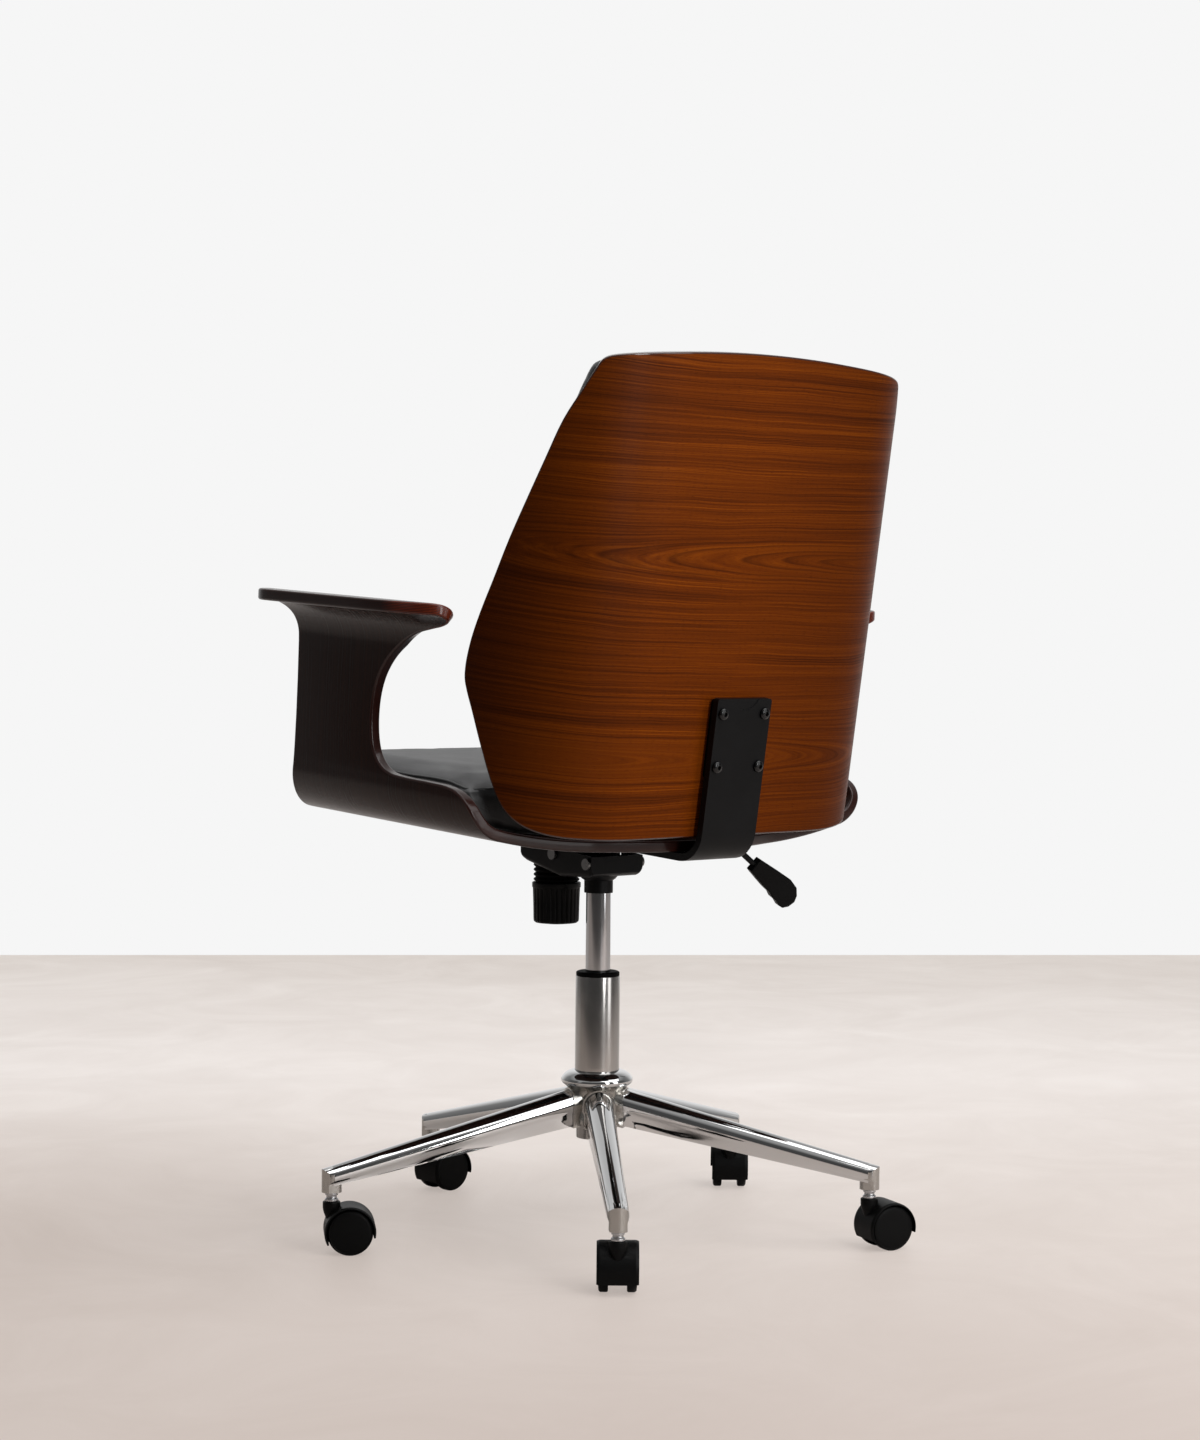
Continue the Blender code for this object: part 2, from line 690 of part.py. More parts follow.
def build_hub(chrome, column):
    profile = [
        (hub_bore_radius(HUB_BOTTOM_Z), HUB_BOTTOM_Z),
        (HUB_FOOT_RADIUS - 0.0015, HUB_BOTTOM_Z),
        (HUB_FOOT_RADIUS, HUB_BOTTOM_Z + 0.0015),
        (HUB_FOOT_RADIUS - 0.0012, HUB_BOTTOM_Z + 0.0100),
        (HUB_NECK_RADIUS, HUB_NECK_Z),
        (HUB_NECK_RADIUS + 0.0030, HUB_NECK_Z + 0.0090),
        (HUB_FLANGE_RADIUS, HUB_FLANGE_Z - 0.0010),
        (HUB_FLANGE_RADIUS, HUB_FLANGE_Z + HUB_FLANGE_EDGE - 0.0010),
        (HUB_FLANGE_RADIUS - 0.0040, HUB_FLANGE_Z + HUB_FLANGE_EDGE + 0.0020),
        (TUBE_RADIUS + 0.0030, HUB_TOP_Z - 0.0008),
        (TUBE_RADIUS + 0.0012, HUB_TOP_Z),
        (hub_bore_radius(HUB_TOP_Z), HUB_TOP_Z),
    ]
    hub = add_object("base_hub", lathe(profile, 25, closed=True), chrome, column)
    core = TUBE_RADIUS + 0.0025
    for index in range(LEG_COUNT):
        collar = leg_loft((core, COLLAR_REACH), COLLAR_RIM)
        combine(hub, turned(collar, leg_angle(index)), "UNION")
    for index in range(LEG_COUNT):
        pocket = leg_loft((LEG_ROOT_RADIUS - SEAT_GAP, COLLAR_REACH + 0.01), SEAT_GAP)
        combine(hub, turned(pocket, leg_angle(index)), "DIFFERENCE")
    smooth(hub, 30.0)
    return hub


def build_leg(index, chrome, column):
    radii = (LEG_ROOT_RADIUS, COLLAR_REACH, 0.11, 0.21, LEG_REACH)
    leg = add_object("base_leg_%d" % (index + 1), leg_loft(radii), chrome, column)
    tip = add_object("tip", leg_loft((LEG_REACH - 0.02, LEG_REACH + 0.02), 0.0, 0.03), chrome)
    post = round_bar(SOCKET_RADIUS, SOCKET_BOTTOM_Z, LEG_TIP_TOP_Z + 0.02, ROUND_SEGMENTS)
    bmesh.ops.translate(post, verts=post.verts, vec=(LEG_REACH, 0.0, 0.0))
    combine(tip, post, "INTERSECT")
    joined = bmesh.new()
    joined.from_mesh(tip.data)
    bpy.data.objects.remove(tip, do_unlink=True)
    combine(leg, joined, "UNION")
    bore_top = SOCKET_BOTTOM_Z + STEM_DEPTH_IN_SOCKET + SEAT_GAP
    bore = round_bar(running_bore(STEM_RADIUS), SOCKET_BOTTOM_Z - 0.01, bore_top, FIT_SEGMENTS)
    bmesh.ops.translate(bore, verts=bore.verts, vec=(LEG_REACH, 0.0, 0.0))
    combine(leg, bore, "DIFFERENCE")
    leg.rotation_euler = (0.0, 0.0, leg_angle(index))
    smooth(leg, 32.0)
    return leg


# Casters
def stem_mesh():
    collar_top = SOCKET_BOTTOM_Z - SEAT_GAP
    collar_bottom = collar_top - STEM_COLLAR_HEIGHT
    return lathe([
        (0.0, HOOD_TOP_Z - STEM_DEPTH_IN_HOOD),
        (STEM_RADIUS, HOOD_TOP_Z - STEM_DEPTH_IN_HOOD),
        (STEM_RADIUS, collar_bottom),
        (STEM_COLLAR_RADIUS, collar_bottom),
        (STEM_COLLAR_RADIUS, collar_top),
        (STEM_RADIUS, collar_top),
        (STEM_RADIUS, SOCKET_BOTTOM_Z + STEM_DEPTH_IN_SOCKET),
        (0.0, SOCKET_BOTTOM_Z + STEM_DEPTH_IN_SOCKET),
    ], FIT_SEGMENTS)


def lay_on_y(bm):
    bmesh.ops.rotate(bm, verts=bm.verts, cent=(0, 0, 0), matrix=Matrix.Rotation(-math.pi / 2, 3, "X"))
    return bm


def hood_object(name, nylon, parent):
    """Caster body in axes with +X along the trail and the stem's axis on Z at the floor."""
    inner = WHEEL_RADIUS / math.cos(math.pi / WHEEL_SEGMENTS) + HOOD_AIR
    outer = inner + HOOD_WALL
    profile = [
        (0.0, -HOOD_WEB), (inner, -HOOD_WEB), (inner, -HOOD_HALF_WIDTH),
        (outer, -HOOD_HALF_WIDTH), (outer, HOOD_HALF_WIDTH),
        (inner, HOOD_HALF_WIDTH), (inner, HOOD_WEB), (0.0, HOOD_WEB),
    ]
    cover = lathe(profile, HOOD_SEGMENTS, -HOOD_END, HOOD_END - HOOD_START, closed=True)
    lay_on_y(cover)
    bmesh.ops.translate(cover, verts=cover.verts, vec=(CASTER_TRAIL, 0.0, WHEEL_RADIUS))
    hood = add_object(name, cover, nylon, parent)
    boss = lay_on_y(round_bar(AXLE_BOSS_RADIUS, -HOOD_WEB, HOOD_WEB, 10))
    bmesh.ops.translate(boss, verts=boss.verts, vec=(CASTER_TRAIL, 0.0, WHEEL_RADIUS))
    combine(hood, boss, "UNION")
    combine(hood, stem_boss(inner, nylon), "UNION")
    bore = round_bar(running_bore(STEM_RADIUS), HOOD_TOP_Z - STEM_DEPTH_IN_HOOD - SEAT_GAP,
                     HOOD_TOP_Z + 0.01, FIT_SEGMENTS)
    combine(hood, bore, "DIFFERENCE")
    axle_end = WHEEL_OUTER_Y - WHEEL_BLIND - SEAT_GAP
    axle = lay_on_y(round_bar(AXLE_RADIUS, -axle_end, axle_end, 8))
    bmesh.ops.translate(axle, verts=axle.verts, vec=(CASTER_TRAIL, 0.0, WHEEL_RADIUS))
    combine(hood, axle, "UNION")
    smooth(hood, 32.0)
    return hood


def stem_boss(well_radius, nylon):
    """Boss round the stem, cut back where the two wheels turn."""
    low = HOOD_TOP_Z - STEM_DEPTH_IN_HOOD - HOOD_BOSS_FLOOR
    boss = add_object("boss", round_bar(HOOD_BOSS_RADIUS, low, HOOD_TOP_Z, 16), nylon)
    for low_y, high_y in ((HOOD_WEB, HOOD_HALF_WIDTH), (-HOOD_HALF_WIDTH, -HOOD_WEB)):
        well = lay_on_y(round_bar(well_radius, low_y, high_y, 32))
        combine(boss, well, "DIFFERENCE", (CASTER_TRAIL, 0.0, WHEEL_RADIUS))
    shaped = bmesh.new()
    shaped.from_mesh(boss.data)
    bpy.data.objects.remove(boss, do_unlink=True)
    return shaped


def wheel_mesh():
    """Wheel spun about Z from its inner to its outer face, one facet facing exactly down."""
    rim = WHEEL_RADIUS / math.cos(math.pi / WHEEL_SEGMENTS)
    bore = running_bore(AXLE_RADIUS, WHEEL_SEGMENTS)
    return lathe([
        (0.0, WHEEL_OUTER_Y - WHEEL_BLIND), (bore, WHEEL_OUTER_Y - WHEEL_BLIND),
        (bore, WHEEL_INNER_Y), (rim, WHEEL_INNER_Y), (rim, WHEEL_OUTER_Y - WHEEL_EDGE),
        (rim - WHEEL_EDGE, WHEEL_OUTER_Y), (0.0, WHEEL_OUTER_Y + WHEEL_CROWN),
    ], WHEEL_SEGMENTS, math.pi / WHEEL_SEGMENTS)


def build_caster(index, steel, nylon, column, models):
    number = index + 1
    angle = leg_angle(index)
    spot = (LEG_REACH * math.cos(angle), LEG_REACH * math.sin(angle), 0.0)
    if "stem" in models:
        stem = copy_object(models["stem"], "caster_stem_%d" % number, column, spot)
    else:
        stem = add_object("caster_stem_%d" % number, stem_mesh(), steel, column, location=spot)
        smooth(stem)
        models["stem"] = stem
    heading = math.radians(CASTER_DIRECTIONS[index])
    swivel = add_empty("caster_swivel_%d" % number, spot, (0.0, 0.0, heading), column)
    if "hood" in models:
        copy_object(models["hood"], "caster_hood_%d" % number, swivel)
    else:
        models["hood"] = hood_object("caster_hood_%d" % number, nylon, swivel)
    hub_spot = (CASTER_TRAIL, 0.0, WHEEL_RADIUS)
    for side, turn in (("left", 0.0), ("right", math.pi)):
        name = "caster_wheel_%d_%s" % (number, side)
        if "wheel" in models:
            copy_object(models["wheel"], name, swivel, hub_spot, (0.0, 0.0, turn))
        else:
            mesh = lay_on_y(wheel_mesh())
            models["wheel"] = add_object(name, mesh, nylon, swivel, hub_spot)
            smooth(models["wheel"], 30.0)


# Gas lift
def build_outer_tube(chrome, column):
    inner_top = TUBE_RADIUS - TUBE_WALL
    inner_foot = TUBE_FOOT_RADIUS - TUBE_WALL
    floor = TUBE_FOOT_Z + TUBE_FLOOR
    rod_hole = ROD_RADIUS + HOLE_CLEARANCE
    profile = [
        (rod_hole, TUBE_FOOT_Z), (TUBE_FOOT_RADIUS, TUBE_FOOT_Z),
        (TUBE_RADIUS, TUBE_TAPER_TOP_Z), (TUBE_RADIUS, TUBE_TOP_Z),
        (inner_top, TUBE_TOP_Z), (inner_top, TUBE_TAPER_TOP_Z), (inner_foot, floor),
        (rod_hole, floor),
    ]
    tube = add_object("lift_outer_tube", lathe(profile, 28, closed=True), chrome, column)
    smooth(tube, 30.0)
    return tube


def build_guide_bush(plastic, column):
    bore = running_bore(CYLINDER_RADIUS, 28)
    outer = (TUBE_RADIUS - TUBE_WALL) * math.cos(math.pi / 28) - SEAT_GAP
    flange_low = TUBE_TOP_Z + SEAT_GAP
    top = TUBE_TOP_Z + BUSH_FLANGE
    profile = [
        (bore, TUBE_TOP_Z - BUSH_LENGTH), (outer, TUBE_TOP_Z - BUSH_LENGTH), (outer, flange_low),
        (TUBE_RADIUS - 0.0004, flange_low), (TUBE_RADIUS - 0.0004, top - 0.0012),
        (TUBE_RADIUS - 0.0020, top), (bore, top),
    ]
    bush = add_object("lift_guide_bush", lathe(profile, 28, closed=True), plastic, column)
    smooth(bush, 30.0)
    return bush


def build_cylinder(steel, column):
    hole = ROD_RADIUS + HOLE_CLEARANCE
    hole_top = CYLINDER_BOTTOM_Z + ROD_IN_CYLINDER + LIFT_TRAVEL + CYLINDER_END_AIR
    profile = [
        (0.0, hole_top), (hole, hole_top), (hole, CYLINDER_BOTTOM_Z),
        (CYLINDER_RADIUS, CYLINDER_BOTTOM_Z), (CYLINDER_RADIUS, CYLINDER_TAPER_Z),
        (CYLINDER_TOP_RADIUS, CYLINDER_TOP_Z), (0.0, CYLINDER_TOP_Z),
    ]
    cylinder = add_object("lift_cylinder", lathe(profile, 28), steel, column)
    smooth(cylinder, 30.0)
    return cylinder


def bearing_low():
    return TUBE_FOOT_Z + TUBE_FLOOR + SEAT_GAP


def build_rod(steel, column):
    ring = bearing_low() + BEARING_HEIGHT + SEAT_GAP
    profile = [
        (0.0, ROD_BOTTOM_Z), (ROD_RADIUS, ROD_BOTTOM_Z), (ROD_RADIUS, ring),
        (ROD_RADIUS + 0.0040, ring), (ROD_RADIUS + 0.0040, ring + 0.0030),
        (ROD_RADIUS, ring + 0.0030), (ROD_RADIUS, CYLINDER_BOTTOM_Z + ROD_IN_CYLINDER),
        (0.0, CYLINDER_BOTTOM_Z + ROD_IN_CYLINDER),
    ]
    rod = add_object("lift_piston_rod", lathe(profile, 16), steel, column)
    smooth(rod)
    return rod


def build_bearing(steel, column):
    low = bearing_low()
    bore = ROD_RADIUS + HOLE_CLEARANCE
    profile = [
        (bore, low), (BEARING_RADIUS, low),
        (BEARING_RADIUS - BEARING_GROOVE, low + BEARING_HEIGHT * 0.5),
        (BEARING_RADIUS, low + BEARING_HEIGHT), (bore, low + BEARING_HEIGHT),
    ]
    bearing = add_object("lift_thrust_bearing", lathe(profile, 18, closed=True), steel, column)
    smooth(bearing)
    return bearing


def build_clip(steel, column):
    high = TUBE_FOOT_Z - SEAT_GAP
    bore = ROD_RADIUS + SEAT_GAP
    profile = [(bore, high - CLIP_THICKNESS), (CLIP_RADIUS, high - CLIP_THICKNESS),
               (CLIP_RADIUS, high), (bore, high)]
    clip = add_object("lift_retaining_clip", lathe(profile, 16, closed=True), steel, column)
    smooth(clip)
    return clip


def build_button(plastic, column):
    low = CYLINDER_TOP_Z + SEAT_GAP
    button = add_object("lift_release_button",
                        round_bar(BUTTON_RADIUS, low, low + BUTTON_HEIGHT, 12), plastic, column)
    smooth(button)
    return button


# Tilt mechanism
def housing_profile():
    return [
        (HOUSING_FRONT, HOUSING_FRONT_RIM_Z), (HOUSING_FRONT, HOUSING_CHIN_Z + 0.0100),
        (HOUSING_FRONT + 0.0020, HOUSING_CHIN_Z + 0.0030), (HOUSING_CHIN, HOUSING_CHIN_Z),
        (-CONE_RADIUS, HOUSING_BELLY_Z), (HOUSING_REAR - 0.0060, HOUSING_BELLY_Z + 0.0020),
        (HOUSING_REAR - 0.0015, HOUSING_BELLY_Z + 0.0045), (HOUSING_REAR, HOUSING_TAIL_Z),
        (HOUSING_REAR, HOUSING_REAR_RIM_Z),
    ]


def build_housing(black, column):
    half = HOUSING_HALF_WIDTH
    body = extrude_outline(housing_profile(), -half, half, "X")
    bevel_limit = HOUSING_CHIN_Z + 0.0040

    def lower_side_edge(edge):
        a, b = (vert.co for vert in edge.verts)
        same_side = abs(a.x - b.x) < 1e-6
        along = abs(a.y - b.y) > 1e-6
        return same_side and along and max(a.z, b.z) < bevel_limit

    bevel_where(body, lower_side_edge, HOUSING_ROUND, 3)
    housing = add_object("mech_housing", body, black, column)
    skirt = lathe([
        (0.0, SKIRT_BOTTOM_Z), (SKIRT_RADIUS, SKIRT_BOTTOM_Z), (SKIRT_RADIUS, SKIRT_TOP_Z),
        (SKIRT_RADIUS + 0.0030, SKIRT_TOP_Z + 0.0020), (CONE_RADIUS, CONE_TOP_Z),
        (CONE_RADIUS, CONE_TOP_Z + 0.0050), (0.0, CONE_TOP_Z + 0.0050),
    ], 36)
    combine(housing, skirt, "UNION")
    hole = CYLINDER_RADIUS + SEAT_GAP
    top = CYLINDER_TOP_RADIUS + SEAT_GAP
    grow = (top - hole) / (CYLINDER_TOP_Z - CYLINDER_TAPER_Z)
    bore = lathe([
        (0.0, SKIRT_BOTTOM_Z - 0.01), (hole, SKIRT_BOTTOM_Z - 0.01), (hole, CYLINDER_TAPER_Z),
        (top + grow * 0.02, CYLINDER_TOP_Z + 0.02), (0.0, CYLINDER_TOP_Z + 0.02),
    ], 36)
    combine(housing, bore, "DIFFERENCE")
    inside = half - HOUSING_WALL
    cavity = extrude_outline([
        (-inside, HOUSING_FRONT + HOUSING_WALL), (inside, HOUSING_FRONT + HOUSING_WALL),
        (inside, CAVITY_REAR), (-inside, CAVITY_REAR),
    ], HOUSING_FLOOR_Z, HOUSING_FRONT_RIM_Z + 0.02, "Z")
    combine(housing, cavity, "DIFFERENCE")
    seat_ring = round_bar(BELLOWS_RADIUS + 0.0010, HOUSING_BELLY_Z - 0.02,
                          BELLOWS_TOP_Z + SEAT_GAP, 36)
    combine(housing, seat_ring, "DIFFERENCE", (0.0, KNOB_Y, 0.0))
    screw_hole = round_bar(TENSION_SCREW_RADIUS + HOLE_CLEARANCE, HOUSING_BELLY_Z - 0.02,
                           HOUSING_FLOOR_Z + 0.01, 16)
    combine(housing, screw_hole, "DIFFERENCE", (0.0, KNOB_Y, 0.0))
    lever_low = LEVER_Z - LEVER_RADIUS - 0.0030
    half_slot = LEVER_SLOT / 2.0
    slot = extrude_outline([
        (-half - 0.01, -half_slot), (LEVER_INNER_X + 0.004, -half_slot),
        (LEVER_INNER_X + 0.004, half_slot), (-half - 0.01, half_slot),
    ], lever_low, HOUSING_FRONT_RIM_Z + 0.02, "Z")
    combine(housing, slot, "DIFFERENCE")
    crown = extrude_outline([
        (-inside, CAVITY_REAR - 0.001), (inside, CAVITY_REAR - 0.001),
        (inside, HOUSING_REAR - HOUSING_WALL), (-inside, HOUSING_REAR - HOUSING_WALL),
    ], CYLINDER_TOP_Z - 0.001, HOUSING_FRONT_RIM_Z + 0.02, "Z")
    combine(housing, crown, "DIFFERENCE")
    for y, z, radius in ((PIVOT_Y, PIVOT_Z, PIVOT_RADIUS), (CROSS_BOLT_Y, CROSS_BOLT_Z, CROSS_BOLT_RADIUS)):
        pin = round_bar(running_bore(radius), -half - 0.01, half + 0.01, FIT_SEGMENTS)
        combine(housing, pin, "DIFFERENCE", (0.0, y, z), (0.0, math.pi / 2, 0.0))
    for side in (-1, 1):
        combine(housing, lever_lug(side), "UNION")
    reach = lever_trunnion_half() + SEAT_GAP
    lever_pin = lay_on_y(round_bar(running_bore(LEVER_PIN_RADIUS, 12), -reach, reach, 12))
    combine(housing, lever_pin, "DIFFERENCE", (LEVER_PIVOT_X, 0.0, LEVER_Z))
    smooth(housing, 30.0)
    return housing


def lever_trunnion_half():
    return LEVER_SLOT / 2.0 + SEAT_GAP + LEVER_LUG_THICKNESS


def lever_lug(side):
    """One of the two ears that carry the lever's trunnion, standing beside its slot."""
    near = LEVER_SLOT / 2.0 + SEAT_GAP
    far = near + LEVER_LUG_THICKNESS
    low_y, high_y = (near, far) if side > 0 else (-far, -near)
    half = LEVER_LUG_LENGTH / 2.0
    return extrude_outline([
        (LEVER_PIVOT_X - half, low_y), (LEVER_PIVOT_X + half, low_y),
        (LEVER_PIVOT_X + half, high_y), (LEVER_PIVOT_X - half, high_y),
    ], CYLINDER_TOP_Z - 0.0025, LEVER_Z + LEVER_LUG_RISE, "Z")


def headed_pin(name, radius, head_radius, head, half, surface, parent, location):
    low, high = -half - SEAT_GAP, half + SEAT_GAP
    bar = lathe([
        (0.0, low - head), (head_radius, low - head), (head_radius, low), (radius, low),
        (radius, high), (head_radius, high), (head_radius, high + head), (0.0, high + head),
    ], FIT_SEGMENTS)
    pin = add_object(name, bar, surface, parent, location, (0.0, math.pi / 2, 0.0))
    smooth(pin)
    return pin


def build_tension(black, steel, rubber, column, tension):
    bellows = [(BELLOWS_BORE, KNOB_TOP_Z + SEAT_GAP)]
    height = BELLOWS_TOP_Z - KNOB_TOP_Z - SEAT_GAP
    pitch = height / BELLOWS_RINGS
    for ring in range(BELLOWS_RINGS):
        low = KNOB_TOP_Z + SEAT_GAP + pitch * ring
        bellows.append((BELLOWS_VALLEY, low))
        bellows.append((BELLOWS_RADIUS, low + pitch * 0.5))
    bellows.append((BELLOWS_VALLEY, BELLOWS_TOP_Z))
    bellows.append((BELLOWS_BORE, BELLOWS_TOP_Z))
    boot = add_object("tension_bellows", lathe(bellows, 24, closed=True), rubber, column,
                      (0.0, KNOB_Y, 0.0))
    smooth(boot, 40.0)
    coil_low = KNOB_TOP_Z + SEAT_GAP * 2 + SPRING_WIRE
    coil_high = BELLOWS_TOP_Z - SPRING_WIRE
    coil = []
    count = SPRING_TURNS * 9
    for i in range(count + 1):
        angle = 2.0 * math.pi * SPRING_TURNS * i / count
        height = coil_low + (coil_high - coil_low) * i / count
        coil.append(Vector((SPRING_RADIUS * math.cos(angle), SPRING_RADIUS * math.sin(angle), height)))
    spring = add_object("tension_spring", tube_along(coil, SPRING_WIRE, 5), steel, column,
                        (0.0, KNOB_Y, 0.0))
    smooth(spring, 60.0)
    knob = build_knob(black, tension)
    low = KNOB_TOP_Z - TENSION_SCREW_IN_KNOB
    nut_low = HOUSING_FLOOR_Z + SEAT_GAP
    screw = lathe([
        (0.0, low), (TENSION_SCREW_RADIUS, low), (TENSION_SCREW_RADIUS, nut_low),
        (TENSION_NUT_RADIUS, nut_low), (TENSION_NUT_RADIUS, nut_low + TENSION_NUT_HEIGHT),
        (0.0, nut_low + TENSION_NUT_HEIGHT),
    ], 16)
    bolt = add_object("tension_screw", screw, steel, tension)
    smooth(bolt)
    return boot, spring, knob, bolt


def build_knob(black, tension):
    count = KNOB_FLUTES * 2
    bm = bmesh.new()
    stations = (
        (KNOB_BOTTOM_Z, KNOB_FOOT_RADIUS - KNOB_CHAMFER),
        (KNOB_BOTTOM_Z + KNOB_CHAMFER, KNOB_FOOT_RADIUS),
        (KNOB_TOP_Z - KNOB_BAND, KNOB_RADIUS), (KNOB_TOP_Z, KNOB_RADIUS),
    )
    rings = []
    for level, (height, radius) in enumerate(stations):
        ring = []
        for i in range(count):
            angle = 2.0 * math.pi * i / count
            dip = KNOB_FLUTE_DEPTH if i % 2 and level < 2 else 0.0
            size = radius - dip
            ring.append(bm.verts.new((size * math.cos(angle), size * math.sin(angle), height)))
        rings.append(ring)
    for low, high in zip(rings, rings[1:]):
        for i in range(count):
            j = (i + 1) % count
            bm.faces.new((low[i], low[j], high[j], high[i]))
    bottom = bm.verts.new((0.0, 0.0, KNOB_BOTTOM_Z - KNOB_DOME))
    for i in range(count):
        bm.faces.new((rings[0][(i + 1) % count], rings[0][i], bottom))
    bm.faces.new(rings[-1])
    knob = add_object("tension_knob", bm, black, tension)
    hole_low = KNOB_TOP_Z - TENSION_SCREW_IN_KNOB - SEAT_GAP
    hole = round_bar(TENSION_SCREW_RADIUS + SEAT_GAP, hole_low, KNOB_TOP_Z + 0.01, 16)
    combine(knob, hole, "DIFFERENCE")
    smooth(knob, 25.0)
    return knob


def lever_path():
    flat = Vector((LEVER_BEND_X, 0.0, LEVER_Z))
    fall = Vector((-math.cos(LEVER_DROP), 0.0, -math.sin(LEVER_DROP)))
    bend = []
    for share in (-1.0, -0.6, 0.0, 0.6, 1.0):
        along = 0.0080 * share
        ease = 0.0080 * (1.0 - abs(share)) * 0.25
        spot = flat + (Vector((-along, 0.0, 0.0)) if share < 0 else fall * along)
        bend.append(spot + (Vector((-1.0, 0.0, 0.0)) * -ease + Vector((0.0, 0.0, -1.0)) * ease))
    start = [Vector((LEVER_INNER_X, 0.0, LEVER_Z))]
    return start + bend + [flat + fall * LEVER_DROP_LENGTH], flat, fall


def build_lever(black, steel, lever):
    points, flat, fall = lever_path()
    moved = [point - Vector((LEVER_PIVOT_X, 0.0, LEVER_Z)) for point in points]
    rod = add_object("lever_rod", tube_along(moved, LEVER_RADIUS, 10), steel, lever)
    reach = lever_trunnion_half()
    trunnion = lay_on_y(round_bar(LEVER_PIN_RADIUS, -reach, reach, 12))
    combine(rod, trunnion, "UNION")
    smooth(rod, 40.0)
    grip = add_object("lever_grip", grip_mesh(), black, lever)
    start = flat + fall * GRIP_START - Vector((LEVER_PIVOT_X, 0.0, LEVER_Z))
    upward = Vector((-math.sin(LEVER_DROP), 0.0, math.cos(LEVER_DROP)))
    across = upward * math.cos(GRIP_TWIST) + Vector((0.0, 1.0, 0.0)) * math.sin(GRIP_TWIST)
    face = fall.cross(across)
    frame = Matrix((fall, across, face)).transposed()
    grip.matrix_basis = Matrix.Translation(start) @ frame.to_4x4()
    bore_depth = LEVER_DROP_LENGTH - GRIP_START + SEAT_GAP
    bore = tube_along([Vector((-0.01, 0.0, 0.0)), Vector((bore_depth, 0.0, 0.0))],
                      LEVER_RADIUS + SEAT_GAP, 10)
    combine(grip, bore, "DIFFERENCE")
    smooth(grip, 35.0)
    return rod, grip


def grip_mesh():
    """Flat paddle in its own axes: +X outwards along the rod, +Y up across the blade."""
    root, wide, length = GRIP_ROOT_WIDTH / 2.0, GRIP_WIDTH / 2.0, GRIP_LENGTH
    upper = [(0.0, root), (0.0060, root + 0.0008), (length * 0.45, wide * 0.86),
             (length * 0.68, wide), (length * 0.86, wide * 0.86), (length * 0.96, wide * 0.45)]
    tip = [(length, 0.0), (length * 0.97, -wide * 0.55)]
    lower = [(length * 0.90, -wide * 0.92), (length * 0.82, -wide * 0.98),
             (length * 0.72, -wide * 0.86), (length * 0.62, -wide * 0.88),
             (length * 0.53, -wide * 0.74), (length * 0.42, -wide * 0.74),
             (length * 0.30, -wide * 0.70), (0.0060, -root - 0.0008), (0.0, -root)]
    half = GRIP_THICKNESS / 2.0
    edge = 0.0016
    return ringed_slab(upper + tip + lower, ((edge, -half), (0.0, -half + edge), (0.0, half - edge),
                                             (edge, half)))


# Seat
def to_seat(y, z):
    """Seat axes of a point given from the column's axis in level axes."""
    dy, dz = y, z - SEAT_Z
    return (dy * math.cos(SEAT_PITCH) - dz * math.sin(SEAT_PITCH),
            dy * math.sin(SEAT_PITCH) + dz * math.cos(SEAT_PITCH))


def build_seat_shell(wood, seat):
    slab = ringed_slab(mirrored_outline(SEAT_BLANK), ply_rings(SHELL_THICKNESS, SHELL_EDGE))
    bend_slab(slab, seat_section(), lambda across, along, up: Vector((across, along, up)))
    shell = add_object("seat_shell", slab, wood, seat)
    for x, y in seat_bolt_spots() + bar_bolt_spots():
        hole = round_bar(BOLT_RADIUS + HOLE_CLEARANCE, -0.01,
                         BOLT_GRIP_IN_SHELL + SEAT_GAP, BOLT_SEGMENTS)
        combine(shell, hole, "DIFFERENCE", (x, y, 0.0))
    smooth(shell, 25.0)
    return shell


def seat_bolt_spots():
    return [(side * SEAT_BOLT_X, y) for side in (-1, 1) for y in (SEAT_BOLT_FRONT_Y, SEAT_BOLT_REAR_Y)]


def bar_bolt_spots():
    return [(0.0, y) for y in (BAR_BOLT_FRONT_Y, BAR_BOLT_REAR_Y)]


